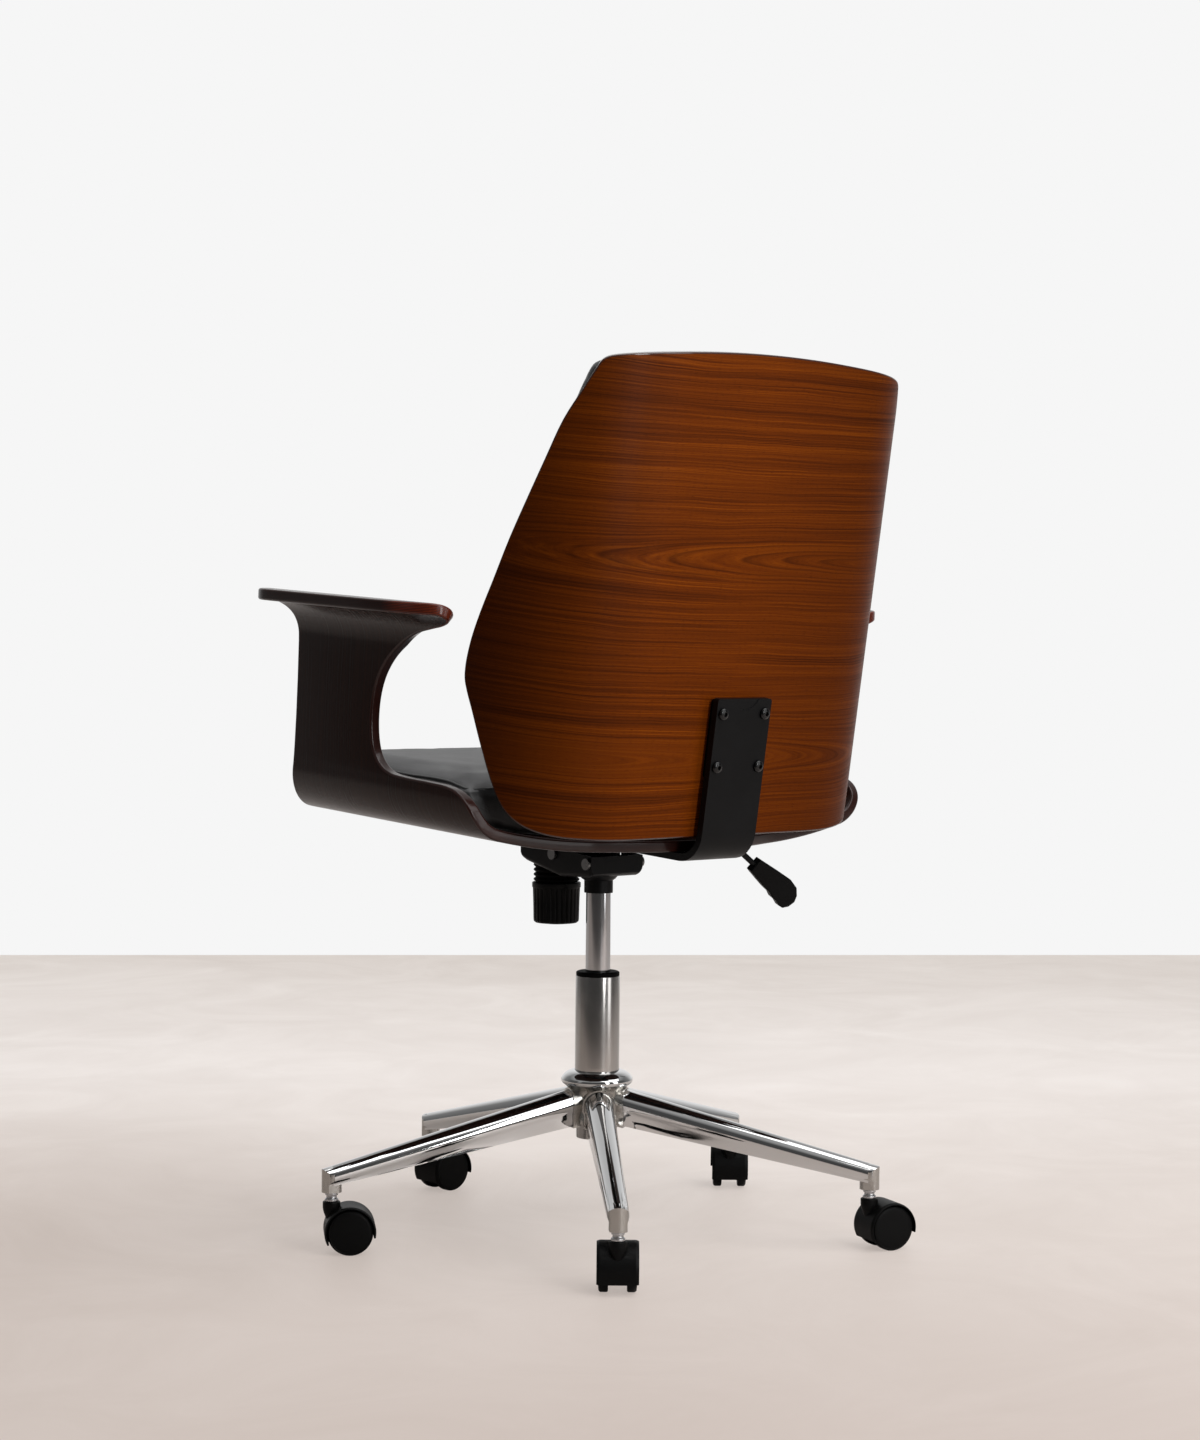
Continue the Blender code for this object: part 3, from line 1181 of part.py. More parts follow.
def build_seat_plate(black, seat):
    top = -SEAT_GAP
    low = top - PLATE_THICKNESS
    outline = [(-PLATE_HALF_WIDTH, PLATE_FRONT), (PLATE_HALF_WIDTH, PLATE_FRONT),
               (PLATE_HALF_WIDTH, PLATE_REAR), (-PLATE_HALF_WIDTH, PLATE_REAR)]
    slab = extrude_outline(outline, low, top, "Z")
    bevel_where(slab, lambda e: abs(e.verts[0].co.z - e.verts[1].co.z) > 1e-4, PLATE_CORNER, 3)
    plate = add_object("seat_plate", slab, black, seat)
    pivot_y, pivot_z = to_seat(PIVOT_Y, PIVOT_Z)
    ear = arc_points((pivot_y, pivot_z), EAR_RADIUS, math.pi, 2.0 * math.pi, 8)
    ear = ear + [(pivot_y + EAR_TOP_HALF, low + 0.001), (pivot_y - EAR_TOP_HALF, low + 0.001)]
    outer = HOUSING_HALF_WIDTH - HOUSING_WALL - EAR_AIR
    for side in (-1.0, 1.0):
        span = sorted((side * outer, side * (outer - EAR_THICKNESS)))
        combine(plate, extrude_outline(ear, span[0], span[1], "X"), "UNION")
    pin = round_bar(running_bore(PIVOT_RADIUS), -outer - 0.01, outer + 0.01, FIT_SEGMENTS)
    combine(plate, pin, "DIFFERENCE", (0.0, pivot_y, pivot_z), (0.0, math.pi / 2, 0.0))
    for x, y in seat_bolt_spots():
        hole = round_bar(BOLT_RADIUS + HOLE_CLEARANCE, low - 0.01, 0.01, BOLT_SEGMENTS)
        combine(plate, hole, "DIFFERENCE", (x, y, 0.0))
    smooth(plate, 30.0)
    return plate


def build_bolts(name, spots, under, surface, parent):
    """Button-head bolts pointing up through the clamped face at this height."""
    low = under - SEAT_GAP
    profile = [
        (0.0, low - BOLT_HEAD_HEIGHT), (BOLT_HEAD_RADIUS * 0.62, low - BOLT_HEAD_HEIGHT),
        (BOLT_HEAD_RADIUS, low - BOLT_HEAD_HEIGHT * 0.35), (BOLT_HEAD_RADIUS, low),
        (BOLT_RADIUS, low), (BOLT_RADIUS, BOLT_GRIP_IN_SHELL), (0.0, BOLT_GRIP_IN_SHELL),
    ]
    first = None
    for number, (x, y) in enumerate(spots, 1):
        label = "%s_%d" % (name, number)
        if first is None:
            first = add_object(label, lathe(profile, BOLT_SEGMENTS), surface, parent, (x, y, 0.0))
            smooth(first)
        else:
            copy_object(first, label, parent, (x, y, 0.0))


def interpolate(points, key):
    ordered = sorted(points)
    for (a, va), (b, vb) in zip(ordered, ordered[1:]):
        if a <= key <= b:
            return va + (vb - va) * (key - a) / (b - a) if b > a else va
    return ordered[-1][1]


def blank_edges():
    rear = [p for p in SEAT_BLANK if p[1] > REAR_EDGE_FROM_Y and p[0] < REAR_EDGE_TO_X]
    front = [p for p in SEAT_BLANK if p[1] < FRONT_EDGE_FROM_Y and p[0] < FRONT_EDGE_TO_X]
    return rear, front


def cushion_columns():
    """Columns across the cushion: x, underside height, front and rear ends."""
    section = seat_section()
    points, normals, runs = section
    rear, front = blank_edges()
    limit = seat_inner_half() - CUSHION_SIDE_AIR
    columns = []
    for i, run in enumerate(runs):
        if run < -1e-9:
            continue
        depth = SHELL_THICKNESS + SEAT_GAP
        x = points[i][0] + normals[i][0] * depth
        z = points[i][1] + normals[i][1] * depth
        if x > limit or run > SEAT_FLAT_HALF + SEAT_BELLY_RADIUS * SEAT_BELLY_ANGLE + 0.052:
            break
        rear_end = interpolate(rear, run) - CUSHION_REAR_AIR
        front_end = interpolate(front, run) + CUSHION_FRONT_AIR
        columns.append((x, z, front_end, rear_end))
    return columns, limit


def seat_inner_half():
    section = seat_section()
    points, normals, runs = section
    panel = SEAT_FLAT_HALF + SEAT_BELLY_RADIUS * SEAT_BELLY_ANGLE
    panel = panel + SEAT_CORNER_RADIUS * (math.pi / 2 - SEAT_BELLY_ANGLE) + ARM_PANEL_RISE / 2
    return map_to_section(section, panel, SHELL_THICKNESS)[0]


def build_seat_cushion(cloth, seat):
    columns, limit = cushion_columns()
    half = [(0.0, *columns[0][1:])]
    for share in (0.35, 0.70):
        half.append((columns[1][0] * share, columns[1][1], lerp(columns, 2, share), lerp(columns, 3, share)))
    half = half + columns[1:]
    full = [(-x, z, f, r) for x, z, f, r in reversed(half[1:])] + half
    rows = [0.0, 0.035, 0.10, 0.22, 0.36, 0.50, 0.64, 0.78, 0.90, 0.965, 1.0]
    bm = bmesh.new()
    under, over = [], []
    edge_x = half[-1][0]
    for x, z, front_end, rear_end in full:
        low_column, high_column = [], []
        for row in rows:
            y = front_end + (rear_end - front_end) * row
            low_column.append(bm.verts.new((x, y, z)))
            high_column.append(bm.verts.new((x, y, cushion_top(x / edge_x, row))))
        under.append(low_column)
        over.append(high_column)
    last = len(rows) - 1
    for a in range(len(full) - 1):
        for b in range(last):
            bm.faces.new((under[a][b], under[a][b + 1], under[a + 1][b + 1], under[a + 1][b]))
            bm.faces.new((over[a][b], over[a + 1][b], over[a + 1][b + 1], over[a][b + 1]))
    ring_low = boundary_ring(under, last)
    ring_high = boundary_ring(over, last)
    middle = []
    for low, high in zip(ring_low, ring_high):
        middle.append(bm.verts.new(cushion_side(low.co, high.co, edge_x, limit)))
    for i in range(len(ring_low)):
        j = (i + 1) % len(ring_low)
        bm.faces.new((ring_low[i], ring_low[j], middle[j], middle[i]))
        bm.faces.new((middle[i], middle[j], ring_high[j], ring_high[i]))
    cushion = add_object("seat_cushion", bm, cloth, seat)
    smooth(cushion, 60.0)
    return cushion


def lerp(columns, key, share):
    return columns[0][key] * (1 - share) + columns[1][key] * share


def boundary_ring(grid, last):
    first = [grid[0][b] for b in range(last + 1)]
    rear = [grid[a][last] for a in range(1, len(grid))]
    right = [grid[-1][b] for b in range(last - 1, -1, -1)]
    front = [grid[a][0] for a in range(len(grid) - 2, 0, -1)]
    return first + rear + right + front


def cushion_top(across, row):
    """Height of the upholstery's top face, crowned and rolled off at its front and rear."""
    side = min(1.0, abs(across))
    height = CUSHION_TOP - (CUSHION_TOP - CUSHION_SIDE_TOP) * side ** 2
    height -= CUSHION_DISH * (1.0 - side ** 2) * math.sin(math.pi * row) ** 2
    if row < 0.50:
        height -= CUSHION_FRONT_FALL * (1.0 - row / 0.50) ** 2
    end = min(row, 1.0 - row)
    if end < 0.10:
        height -= CUSHION_EDGE_FALL * (1.0 - end / 0.10) ** 2
    if side > 0.90:
        height -= CUSHION_SIDE_FALL * ((side - 0.90) / 0.10) ** 2
    return height


def cushion_side(low, high, edge_x, limit):
    share = min(1.0, abs(low.x) / edge_x)
    x = low.x
    if share > 0.999:
        x = math.copysign(limit, low.x)
    return Vector((x, (low.y + high.y) / 2.0, CUSHION_ROLL_Z - (1.0 - share) * 0.012))


# Back
def back_point(across, along, depth):
    """Back axes: +Y out of the shell's rear face, +Z up its ruling."""
    return Vector((across, -depth, along))


def build_back_shell(wood, back):
    slab = ringed_slab(mirrored_outline(BACK_BLANK), ply_rings(SHELL_THICKNESS, SHELL_EDGE))
    bend_slab(slab, back_section(), back_point)
    shell = add_object("back_shell", slab, wood, back)
    for x, z in back_screw_spots():
        hole = lay_on_y(round_bar(BOLT_RADIUS + HOLE_CLEARANCE, -0.01, BACK_SCREW_IN_SHELL + SEAT_GAP, BOLT_SEGMENTS))
        bmesh.ops.rotate(hole, verts=hole.verts, cent=(0, 0, 0), matrix=Matrix.Rotation(math.pi, 3, "Z"))
        combine(shell, hole, "DIFFERENCE", (x, 0.0, z))
    smooth(shell, 25.0)
    return shell


def back_screw_spots():
    low = BACK_SCREW_TOP - BACK_SCREW_PITCH
    return [(side * BACK_SCREW_X, z) for side in (-1, 1) for z in (BACK_SCREW_TOP, low)]


def back_cushion_outline():
    """The shell's outline drawn in, but full at the top corners, where it stands past the shell."""
    top = max(along for _, along in BACK_BLANK)
    made = []
    for across, along in shrunk_outline(mirrored_outline(BACK_BLANK), BACK_CUSHION_INSET):
        share = max(0.0, (along - BACK_CUSHION_CORNER_LOW) / (top - BACK_CUSHION_CORNER_LOW))
        outward = BACK_CUSHION_CORNER * share * (2.0 - share) * min(1.0, abs(across) / 0.20)
        upward = BACK_CUSHION_RISE * max(0.0, share * 4.0 - 3.0)
        made.append((across + math.copysign(outward, across), along + upward))
    return made


def build_back_cushion(cloth, back):
    outline = back_cushion_outline()
    base = SHELL_THICKNESS + SEAT_GAP
    deep = BACK_CUSHION_DEPTH
    rings = ((0.0060, base), (0.0, base + deep * 0.35), (0.0020, base + deep * 0.70),
             (0.0110, base + deep * 0.94), (0.0340, base + deep))
    slab = ringed_slab(outline, rings, shrunk_outline)
    bend_slab(slab, back_section(), back_point)
    cushion = add_object("back_cushion", slab, cloth, back)
    smooth(cushion, 60.0)
    return cushion


def bracket_centreline():
    """Rear face of the bar in the column's level axes: down the back, round, then forward."""
    offset = SPACER_THICKNESS + 2.0 * SEAT_GAP + BRACKET_THICKNESS
    down = Vector((0.0, -math.sin(BACK_LEAN), -math.cos(BACK_LEAN)))
    out = Vector((0.0, math.cos(BACK_LEAN), -math.sin(BACK_LEAN)))
    origin = Vector((0.0, BACK_Y, BACK_Z)) + out * offset
    start = origin - down * BRACKET_TOP
    forward = Vector((0.0, -math.cos(SEAT_PITCH), math.sin(SEAT_PITCH)))
    under = Vector((0.0, math.sin(SEAT_PITCH), math.cos(SEAT_PITCH)))
    floor_point = Vector((0.0, 0.0, SEAT_Z)) - under * (SEAT_GAP + BRACKET_THICKNESS)
    normal = under
    travel = (floor_point - start).dot(normal) / down.dot(normal)
    corner = start + down * travel
    turn = math.acos(max(-1.0, min(1.0, down.dot(forward))))
    trim = BRACKET_BEND_RADIUS * math.tan(turn / 2.0)
    return start, down, corner, forward, turn, trim


def build_bracket(black, tilt_axis):
    start, down, corner, forward, turn, trim = bracket_centreline()
    inward_down = Vector((0.0, down.z, -down.y))
    if inward_down.dot(forward) < 0.0:
        inward_down = -inward_down
    centre = corner - down * trim + inward_down * BRACKET_BEND_RADIUS
    outer, inner = [start], [start + inward_down * BRACKET_THICKNESS]
    steps = 8
    for i in range(steps + 1):
        angle = turn * i / steps
        ray = -inward_down * math.cos(angle) + down * math.sin(angle)
        outer.append(centre + ray * BRACKET_BEND_RADIUS)
        inner.append(centre + ray * (BRACKET_BEND_RADIUS - BRACKET_THICKNESS))
    up = Vector((0.0, -forward.z, forward.y))
    if up.z < 0.0:
        up = -up
    run = (corner.y - BRACKET_FRONT_Y) / -forward.y
    end = corner + forward * run
    outer.append(end)
    inner.append(end + up * BRACKET_THICKNESS)
    outline = [(p.y, p.z) for p in outer] + [(p.y, p.z) for p in reversed(inner)]
    half = BRACKET_WIDTH / 2.0
    bar = extrude_outline(outline, -half, half, "X")

    def end_corner(edge):
        a, b = (vert.co for vert in edge.verts)
        flat = abs(a.x - b.x) < 1e-6
        short = abs((a - b).length - BRACKET_THICKNESS) < 1e-5
        at_end = min((a - start).length, (a - end).length) < half + 0.02
        return flat and short and at_end

    bevel_where(bar, end_corner, BRACKET_CORNER, 3)
    bracket = add_object("back_bracket", bar, black, tilt_axis, (0.0, -PIVOT_Y, -PIVOT_Z))
    out = -inward_down
    tilt = (-BACK_LEAN, 0.0, 0.0)
    for x, z in back_screw_spots():
        spot = Vector((x, BACK_Y, BACK_Z)) - down * z
        hole = lay_on_y(round_bar(BOLT_RADIUS + HOLE_CLEARANCE, -0.03, 0.03, BOLT_SEGMENTS))
        combine(bracket, hole, "DIFFERENCE", spot, tilt)
    notch = lay_on_y(round_bar(BRACKET_NOTCH_RADIUS, -0.01, BRACKET_NOTCH_DEPTH, 28))
    bmesh.ops.rotate(notch, verts=notch.verts, cent=(0, 0, 0), matrix=Matrix.Rotation(math.pi, 3, "Z"))
    notch_spot = start - down * (BRACKET_NOTCH_RADIUS - BRACKET_NOTCH_DROP)
    combine(bracket, notch, "DIFFERENCE", notch_spot, tilt)
    for x, y in bar_bolt_spots():
        hole = round_bar(BOLT_RADIUS + HOLE_CLEARANCE, -0.03, 0.03, BOLT_SEGMENTS)
        combine(bracket, hole, "DIFFERENCE", from_seat(x, y, 0.0), (-SEAT_PITCH, 0.0, 0.0))
    smooth(bracket, 30.0)
    return bracket


def from_seat(x, y, z):
    return Vector((x, y * math.cos(SEAT_PITCH) + z * math.sin(SEAT_PITCH),
                   SEAT_Z - y * math.sin(SEAT_PITCH) + z * math.cos(SEAT_PITCH)))


def build_spacer(black, back):
    high = BACK_SCREW_TOP + SPACER_MARGIN
    low = BACK_SCREW_TOP - BACK_SCREW_PITCH - SPACER_MARGIN
    outline = [(-SPACER_HALF_WIDTH, low), (SPACER_HALF_WIDTH, low),
               (SPACER_HALF_WIDTH, high), (-SPACER_HALF_WIDTH, high)]
    slab = extrude_outline(outline, SEAT_GAP, SEAT_GAP + SPACER_THICKNESS, "Y")
    bevel_where(slab, lambda e: abs(e.verts[0].co.y - e.verts[1].co.y) > 1e-4, 0.003, 3)
    spacer = add_object("bracket_spacer", slab, black, back)
    for x, z in back_screw_spots():
        hole = lay_on_y(round_bar(BOLT_RADIUS + HOLE_CLEARANCE, -0.03, 0.03, BOLT_SEGMENTS))
        combine(spacer, hole, "DIFFERENCE", (x, 0.0, z))
    smooth(spacer, 30.0)
    return spacer


def build_back_screws(steel, back):
    seat_face = SPACER_THICKNESS + 2.0 * SEAT_GAP + BRACKET_THICKNESS + SEAT_GAP
    profile = [
        (0.0, -BACK_SCREW_IN_SHELL), (BOLT_RADIUS, -BACK_SCREW_IN_SHELL), (BOLT_RADIUS, seat_face),
        (DOME_RADIUS, seat_face), (DOME_RADIUS * 0.96, seat_face + DOME_HEIGHT * 0.40),
        (DOME_RADIUS * 0.72, seat_face + DOME_HEIGHT * 0.80),
        (DOME_SOCKET_RADIUS, seat_face + DOME_HEIGHT),
        (DOME_SOCKET_RADIUS, seat_face + DOME_HEIGHT - DOME_SOCKET_DEPTH),
        (0.0, seat_face + DOME_HEIGHT - DOME_SOCKET_DEPTH),
    ]
    first = None
    for number, (x, z) in enumerate(back_screw_spots(), 1):
        label = "back_screw_%d" % number
        if first is None:
            screw = lay_on_y(lathe(profile, BOLT_SEGMENTS))
            first = add_object(label, screw, steel, back, (x, 0.0, z))
            smooth(first, 40.0)
        else:
            copy_object(first, label, back, (x, 0.0, z))


def build_chair():
    clear_scene()
    chrome = material("polished_chrome", (0.74, 0.74, 0.75), 0.08, 1.0)
    brushed = material("brushed_chrome", (0.60, 0.59, 0.57), 0.28, 1.0)
    steel = material("zinc_steel", (0.55, 0.55, 0.56), 0.32, 1.0)
    black_steel = material("black_steel", (0.016, 0.016, 0.017), 0.38, 0.3)
    nylon = material("black_nylon", (0.020, 0.020, 0.021), 0.42)
    rubber = material("black_rubber", (0.018, 0.018, 0.018), 0.60)
    screw_black = material("black_screw", (0.010, 0.010, 0.010), 0.22, 0.6)
    walnut = material("walnut_back", (0.170, 0.062, 0.026), 0.30)
    espresso = material("espresso_seat", (0.045, 0.018, 0.011), 0.24)
    leather = material("dark_upholstery", (0.036, 0.036, 0.038), 0.52)
    column = add_empty("column_axis", (0.0, COLUMN_Y, 0.0))
    build_hub(chrome, column)
    for index in range(LEG_COUNT):
        build_leg(index, chrome, column)
    models = {}
    for index in range(LEG_COUNT):
        build_caster(index, steel, nylon, column, models)
    build_outer_tube(brushed, column)
    build_guide_bush(rubber, column)
    build_bearing(steel, column)
    build_clip(steel, column)
    build_rod(steel, column)
    build_cylinder(brushed, column)
    build_button(nylon, column)
    build_housing(black_steel, column)
    half = HOUSING_HALF_WIDTH
    headed_pin("tilt_pivot_pin", PIVOT_RADIUS, PIVOT_HEAD_RADIUS, PIVOT_HEAD, half, steel, column,
               (0.0, PIVOT_Y, PIVOT_Z))
    headed_pin("housing_cross_bolt", CROSS_BOLT_RADIUS, PIVOT_HEAD_RADIUS, PIVOT_HEAD, half, steel,
               column, (0.0, CROSS_BOLT_Y, CROSS_BOLT_Z))
    tension = add_empty("tension_axis", (0.0, KNOB_Y, 0.0), parent=column)
    build_tension(nylon, steel, rubber, column, tension)
    lever = add_empty("lever_axis", (LEVER_PIVOT_X, 0.0, LEVER_Z), parent=column)
    build_lever(nylon, black_steel, lever)
    tilt = add_empty("tilt_axis", (0.0, PIVOT_Y, PIVOT_Z), parent=column)
    seat_spot = (0.0, -PIVOT_Y, SEAT_Z - PIVOT_Z)
    seat = add_empty("seat_frame", seat_spot, (-SEAT_PITCH, 0.0, 0.0), tilt)
    build_seat_shell(espresso, seat)
    build_seat_plate(black_steel, seat)
    build_bolts("seat_bolt", seat_bolt_spots(), -SEAT_GAP - PLATE_THICKNESS, screw_black, seat)
    build_bolts("bracket_bolt", bar_bolt_spots(), -SEAT_GAP - BRACKET_THICKNESS, screw_black, seat)
    build_seat_cushion(leather, seat)
    back_spot = (0.0, BACK_Y - PIVOT_Y, BACK_Z - PIVOT_Z)
    back = add_empty("back_frame", back_spot, (-BACK_LEAN, 0.0, 0.0), tilt)
    build_back_shell(walnut, back)
    build_back_cushion(leather, back)
    build_bracket(black_steel, tilt)
    build_spacer(rubber, back)
    build_back_screws(screw_black, back)


build_chair()
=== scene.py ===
"""Dressed scene of the swivel desk chair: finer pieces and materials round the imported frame."""
import json
import math

import bmesh
import bpy
from mathutils import Matrix, Vector


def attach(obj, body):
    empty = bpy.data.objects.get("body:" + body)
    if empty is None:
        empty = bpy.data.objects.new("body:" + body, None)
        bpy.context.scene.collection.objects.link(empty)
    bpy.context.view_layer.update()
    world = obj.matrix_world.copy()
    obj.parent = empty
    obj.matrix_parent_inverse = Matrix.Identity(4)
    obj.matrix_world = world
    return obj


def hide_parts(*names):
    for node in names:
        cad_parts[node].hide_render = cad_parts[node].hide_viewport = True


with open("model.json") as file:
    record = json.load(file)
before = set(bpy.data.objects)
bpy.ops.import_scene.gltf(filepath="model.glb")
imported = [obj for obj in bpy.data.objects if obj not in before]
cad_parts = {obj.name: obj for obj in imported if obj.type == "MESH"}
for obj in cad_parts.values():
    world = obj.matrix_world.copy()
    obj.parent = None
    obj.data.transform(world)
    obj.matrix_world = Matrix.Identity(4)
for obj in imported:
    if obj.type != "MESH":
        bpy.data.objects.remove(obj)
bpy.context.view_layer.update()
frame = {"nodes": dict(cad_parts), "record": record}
NODES = frame["nodes"]
SCENE = bpy.context.scene

# Layout shared with the solids, in metres. A step of bent plywood is its length, its bend and its facets.
GAP = 0.0003
COLUMN = Vector((0.0, 0.023, 0.0))
SEAT_PITCH = math.radians(3.4)
SEAT_Z = 0.455
BACK_LEAN = math.radians(9.37)
BACK_Y = 0.2297
BACK_Z = 0.64
PLY = 0.0125
SEAT_EASE = 0.0026
BACK_EASE = 0.0018
SEAT_STEPS = (
    (0.11, 0.0, 2),
    (0.66 * 0.212, 0.212, 14),
    (0.048 * (math.pi / 2 - 0.212), math.pi / 2 - 0.212, 24),
    (0.148, 0.0, 3),
    (0.038 * math.pi / 2, -math.pi / 2, 24),
    (0.027, 0.0, 2),
)
WING_RADIUS = 0.141
WING_RUN = 0.338 - 0.115 - 0.03
BACK_STEPS = (
    (0.115, 0.0, 2),
    (0.03, 0.03 / WING_RADIUS / 2.0, 6),
    (WING_RUN, WING_RUN / WING_RADIUS, 44),
)
SEAT_BLANK = (
    (0.0, 0.175), (0.035, 0.1725), (0.068, 0.166), (0.096, 0.157), (0.123, 0.1485),
    (0.155, 0.143), (0.2, 0.1375), (0.25, 0.133), (0.285, 0.131),
    (0.301, 0.1265), (0.312, 0.1175), (0.319, 0.104), (0.3228, 0.085), (0.324, 0.06),
    (0.325, 0.005), (0.3275, -0.017), (0.3355, -0.0335), (0.3465, -0.043),
    (0.362, -0.0485), (0.385, -0.0505), (0.409, -0.0475), (0.429, -0.0395), (0.446, -0.0265),
    (0.459, -0.011), (0.47, 0.008), (0.479, 0.033), (0.485, 0.06), (0.49, 0.082),
    (0.496, 0.096), (0.505, 0.104), (0.515, 0.1035), (0.526, 0.094), (0.535, 0.077),
    (0.542, 0.054), (0.5465, 0.022), (0.548, -0.02),
    (0.548, -0.162), (0.5465, -0.179), (0.541, -0.1925), (0.532, -0.2),
    (0.52, -0.203), (0.505, -0.201), (0.485, -0.1965),
    (0.34, -0.195), (0.3, -0.199), (0.26, -0.212),
    (0.205, -0.237), (0.14, -0.258), (0.07, -0.268), (0.0, -0.2705),
)
BACK_BLANK = (
    (0.0, 0.3366), (0.06, 0.3355), (0.12, 0.3321), (0.17, 0.3276), (0.204, 0.3225),
    (0.215, 0.3193), (0.221, 0.315), (0.2255, 0.3075), (0.2305, 0.298), (0.238, 0.283),
    (0.254, 0.251), (0.269, 0.208), (0.284, 0.165), (0.299, 0.122), (0.313, 0.078),
    (0.325, 0.043), (0.334, 0.012), (0.338, -0.015), (0.337, -0.03), (0.332, -0.042),
    (0.322, -0.061), (0.304, -0.099), (0.29, -0.128), (0.279, -0.147), (0.27, -0.158),
    (0.259, -0.1665), (0.245, -0.173), (0.225, -0.1775), (0.2, -0.1795), (0.0, -0.18),
)
LEG_START, LEG_REACH = 0.029, 0.312
LEG_TOP = (0.1665, 0.0955)
LEG_WIDTH = (0.0335, 0.0226)
LEG_HEIGHT = (0.04, 0.0205)
LEG_ANGLES = [math.radians(-90.0 + 72.0 * k) for k in range(5)]
CASTER_DIRECTIONS = (183.0, 147.0, 229.7, 163.4, 229.7)
CASTER_TRAIL = 0.02
WHEEL_RADIUS = 0.025
AXLE = Matrix.Translation((CASTER_TRAIL, 0.0, WHEEL_RADIUS))
HALF_WEB = 0.0042
LEVER_Z = 0.434
LEVER_FALL = math.radians(36.0)
KNOB_Y = -0.075
BRACKET_DEPTH = 0.008
SOCKET_RADIUS, SOCKET_DEPTH = 0.0026, 0.0022

# Fine shape of the pieces that this scene adds, in metres
PAD_VOXEL = 0.0046
PAD_SWELL = 0.003
BACK_RIM_SHIFT = 0.004
WELT_RADIUS = 0.0017
HUB_POLISHED_FROM = 0.1712
LEVER_BEND = 0.012

# Camera, floor and lamps, in the chair's frame
CAMERA_SPOT = Vector((2.09, 2.491, 0.678))
CAMERA_HEADING = (-0.6462, -0.7631)
CAMERA_PITCH = math.radians(1.7026)
CAMERA_ROLL = math.radians(-0.507)
CAMERA_LENS = 71.67
PIXELS = (1200, 1440)
WALL_ROW = 955.0
# Reach of the floor's painted light, from the wall side to the camera side
FLOOR_FAR = -2.8
FLOOR_NEAR = 0.9
LAMP_TOWARD = (0.646, 0.763)
LAMP_RIGHT = (-0.763, 0.646)

# Colours and veneer figure
BLACK, WHITE = (0.0, 0.0, 0.0), (1.0, 1.0, 1.0)
GROWTH_RINGS = (0.0059, 0.0092, 0.0128, 0.0191, 0.0239)
RING_REACH = 0.03


def set_all(target, **settings):
    for key, value in settings.items():
        setattr(target, key, value)


# Node networks
class Net:
    """A small hand for wiring shader nodes."""

    def __init__(self, tree):
        self.tree = tree

    def node(self, kind, settings=None, **sockets):
        made = self.tree.nodes.new(kind)
        set_all(made, **(settings or {}))
        for key, value in sockets.items():
            self.feed(made.inputs[key.replace("_", " ")], value)
        return made

    def feed(self, socket, value):
        """Link a socket or set its value, a colour being given without its alpha."""
        if isinstance(value, bpy.types.NodeSocket):
            self.tree.links.new(value, socket)
        elif socket.type == "RGBA":
            socket.default_value = (*value, 1.0)
        else:
            socket.default_value = value

    def surface(self, **sockets):
        """Feed the material's own shader."""
        for key, value in sockets.items():
            self.feed(self.tree.nodes["Principled BSDF"].inputs[key.replace("_", " ")], value)

    def math(self, operation, a, b=0.0):
        made = self.tree.nodes.new("ShaderNodeMath")
        made.operation = operation
        self.feed(made.inputs[0], a)
        self.feed(made.inputs[1], b)
        return made.outputs[0]

    def times(self, a, b):
        return self.math("MULTIPLY", a, b)

    def plus(self, a, b):
        return self.math("ADD", a, b)

    def minus(self, a, b):
        return self.math("SUBTRACT", a, b)

    def mix(self, share, a, b, blend="MIX"):
        made = self.tree.nodes.new("ShaderNodeMix")
        made.data_type = "RGBA"
        made.blend_type = blend
        self.feed(made.inputs[0], share)
        self.feed(made.inputs[6], a)
        self.feed(made.inputs[7], b)
        return made.outputs[2]

    def ramp(self, value, stops):
        made = self.tree.nodes.new("ShaderNodeValToRGB")
        ramp = made.color_ramp
        while len(ramp.elements) < len(stops):
            ramp.elements.new(0.5)
        for element, (place, colour) in zip(ramp.elements, stops):
            element.position = place
            element.color = (*colour, 1.0)
        self.feed(made.inputs[0], value)
        return made.outputs[0]

    def span(self, value, low, high, to_low=0.0, to_high=1.0):
        made = self.tree.nodes.new("ShaderNodeMapRange")
        self.feed(made.inputs[0], value)
        for i, number in enumerate((low, high, to_low, to_high), 1):
            self.feed(made.inputs[i], number)
        return made.outputs[0]

    def noise(self, vector, scale, detail=2.0, rough=0.5, distortion=0.0):
        made = self.node("ShaderNodeTexNoise", Vector=vector, Scale=scale, Detail=detail,
                         Roughness=rough, Distortion=distortion)
        return made.outputs[0]

    def vector(self, x, y, z=0.0):
        return self.node("ShaderNodeCombineXYZ", X=x, Y=y, Z=z).outputs[0]

    def split(self, vector):
        return self.node("ShaderNodeSeparateXYZ", Vector=vector).outputs

    def bump(self, height, strength, distance, normal=None):
        made = self.node("ShaderNodeBump", Strength=strength, Distance=distance, Height=height)
        if normal is not None:
            self.feed(made.inputs["Normal"], normal)
        return made.outputs[0]


def srgb(red, green, blue):
    def linear(value):
        value /= 255.0
        return value / 12.92 if value <= 0.04045 else ((value + 0.055) / 1.055) ** 2.4
    return linear(red), linear(green), linear(blue)


def grey(value):
    return value, value, value


def new_material(name, colour, roughness, metallic=0.0, **more):
    made = bpy.data.materials.new(name)
    made.use_nodes = True
    made.diffuse_color = (*colour, 1.0)
    net = Net(made.node_tree)
    net.surface(Base_Color=colour, Roughness=roughness, Metallic=metallic, **more)
    return made, net


def object_space(net):
    return net.node("ShaderNodeTexCoord").outputs["Object"]


def flat_space(net):
    """Position on the flat veneer before bending: along the section, across the grain."""
    return net.node("ShaderNodeUVMap", {"uv_map": "flat"}).outputs[0]


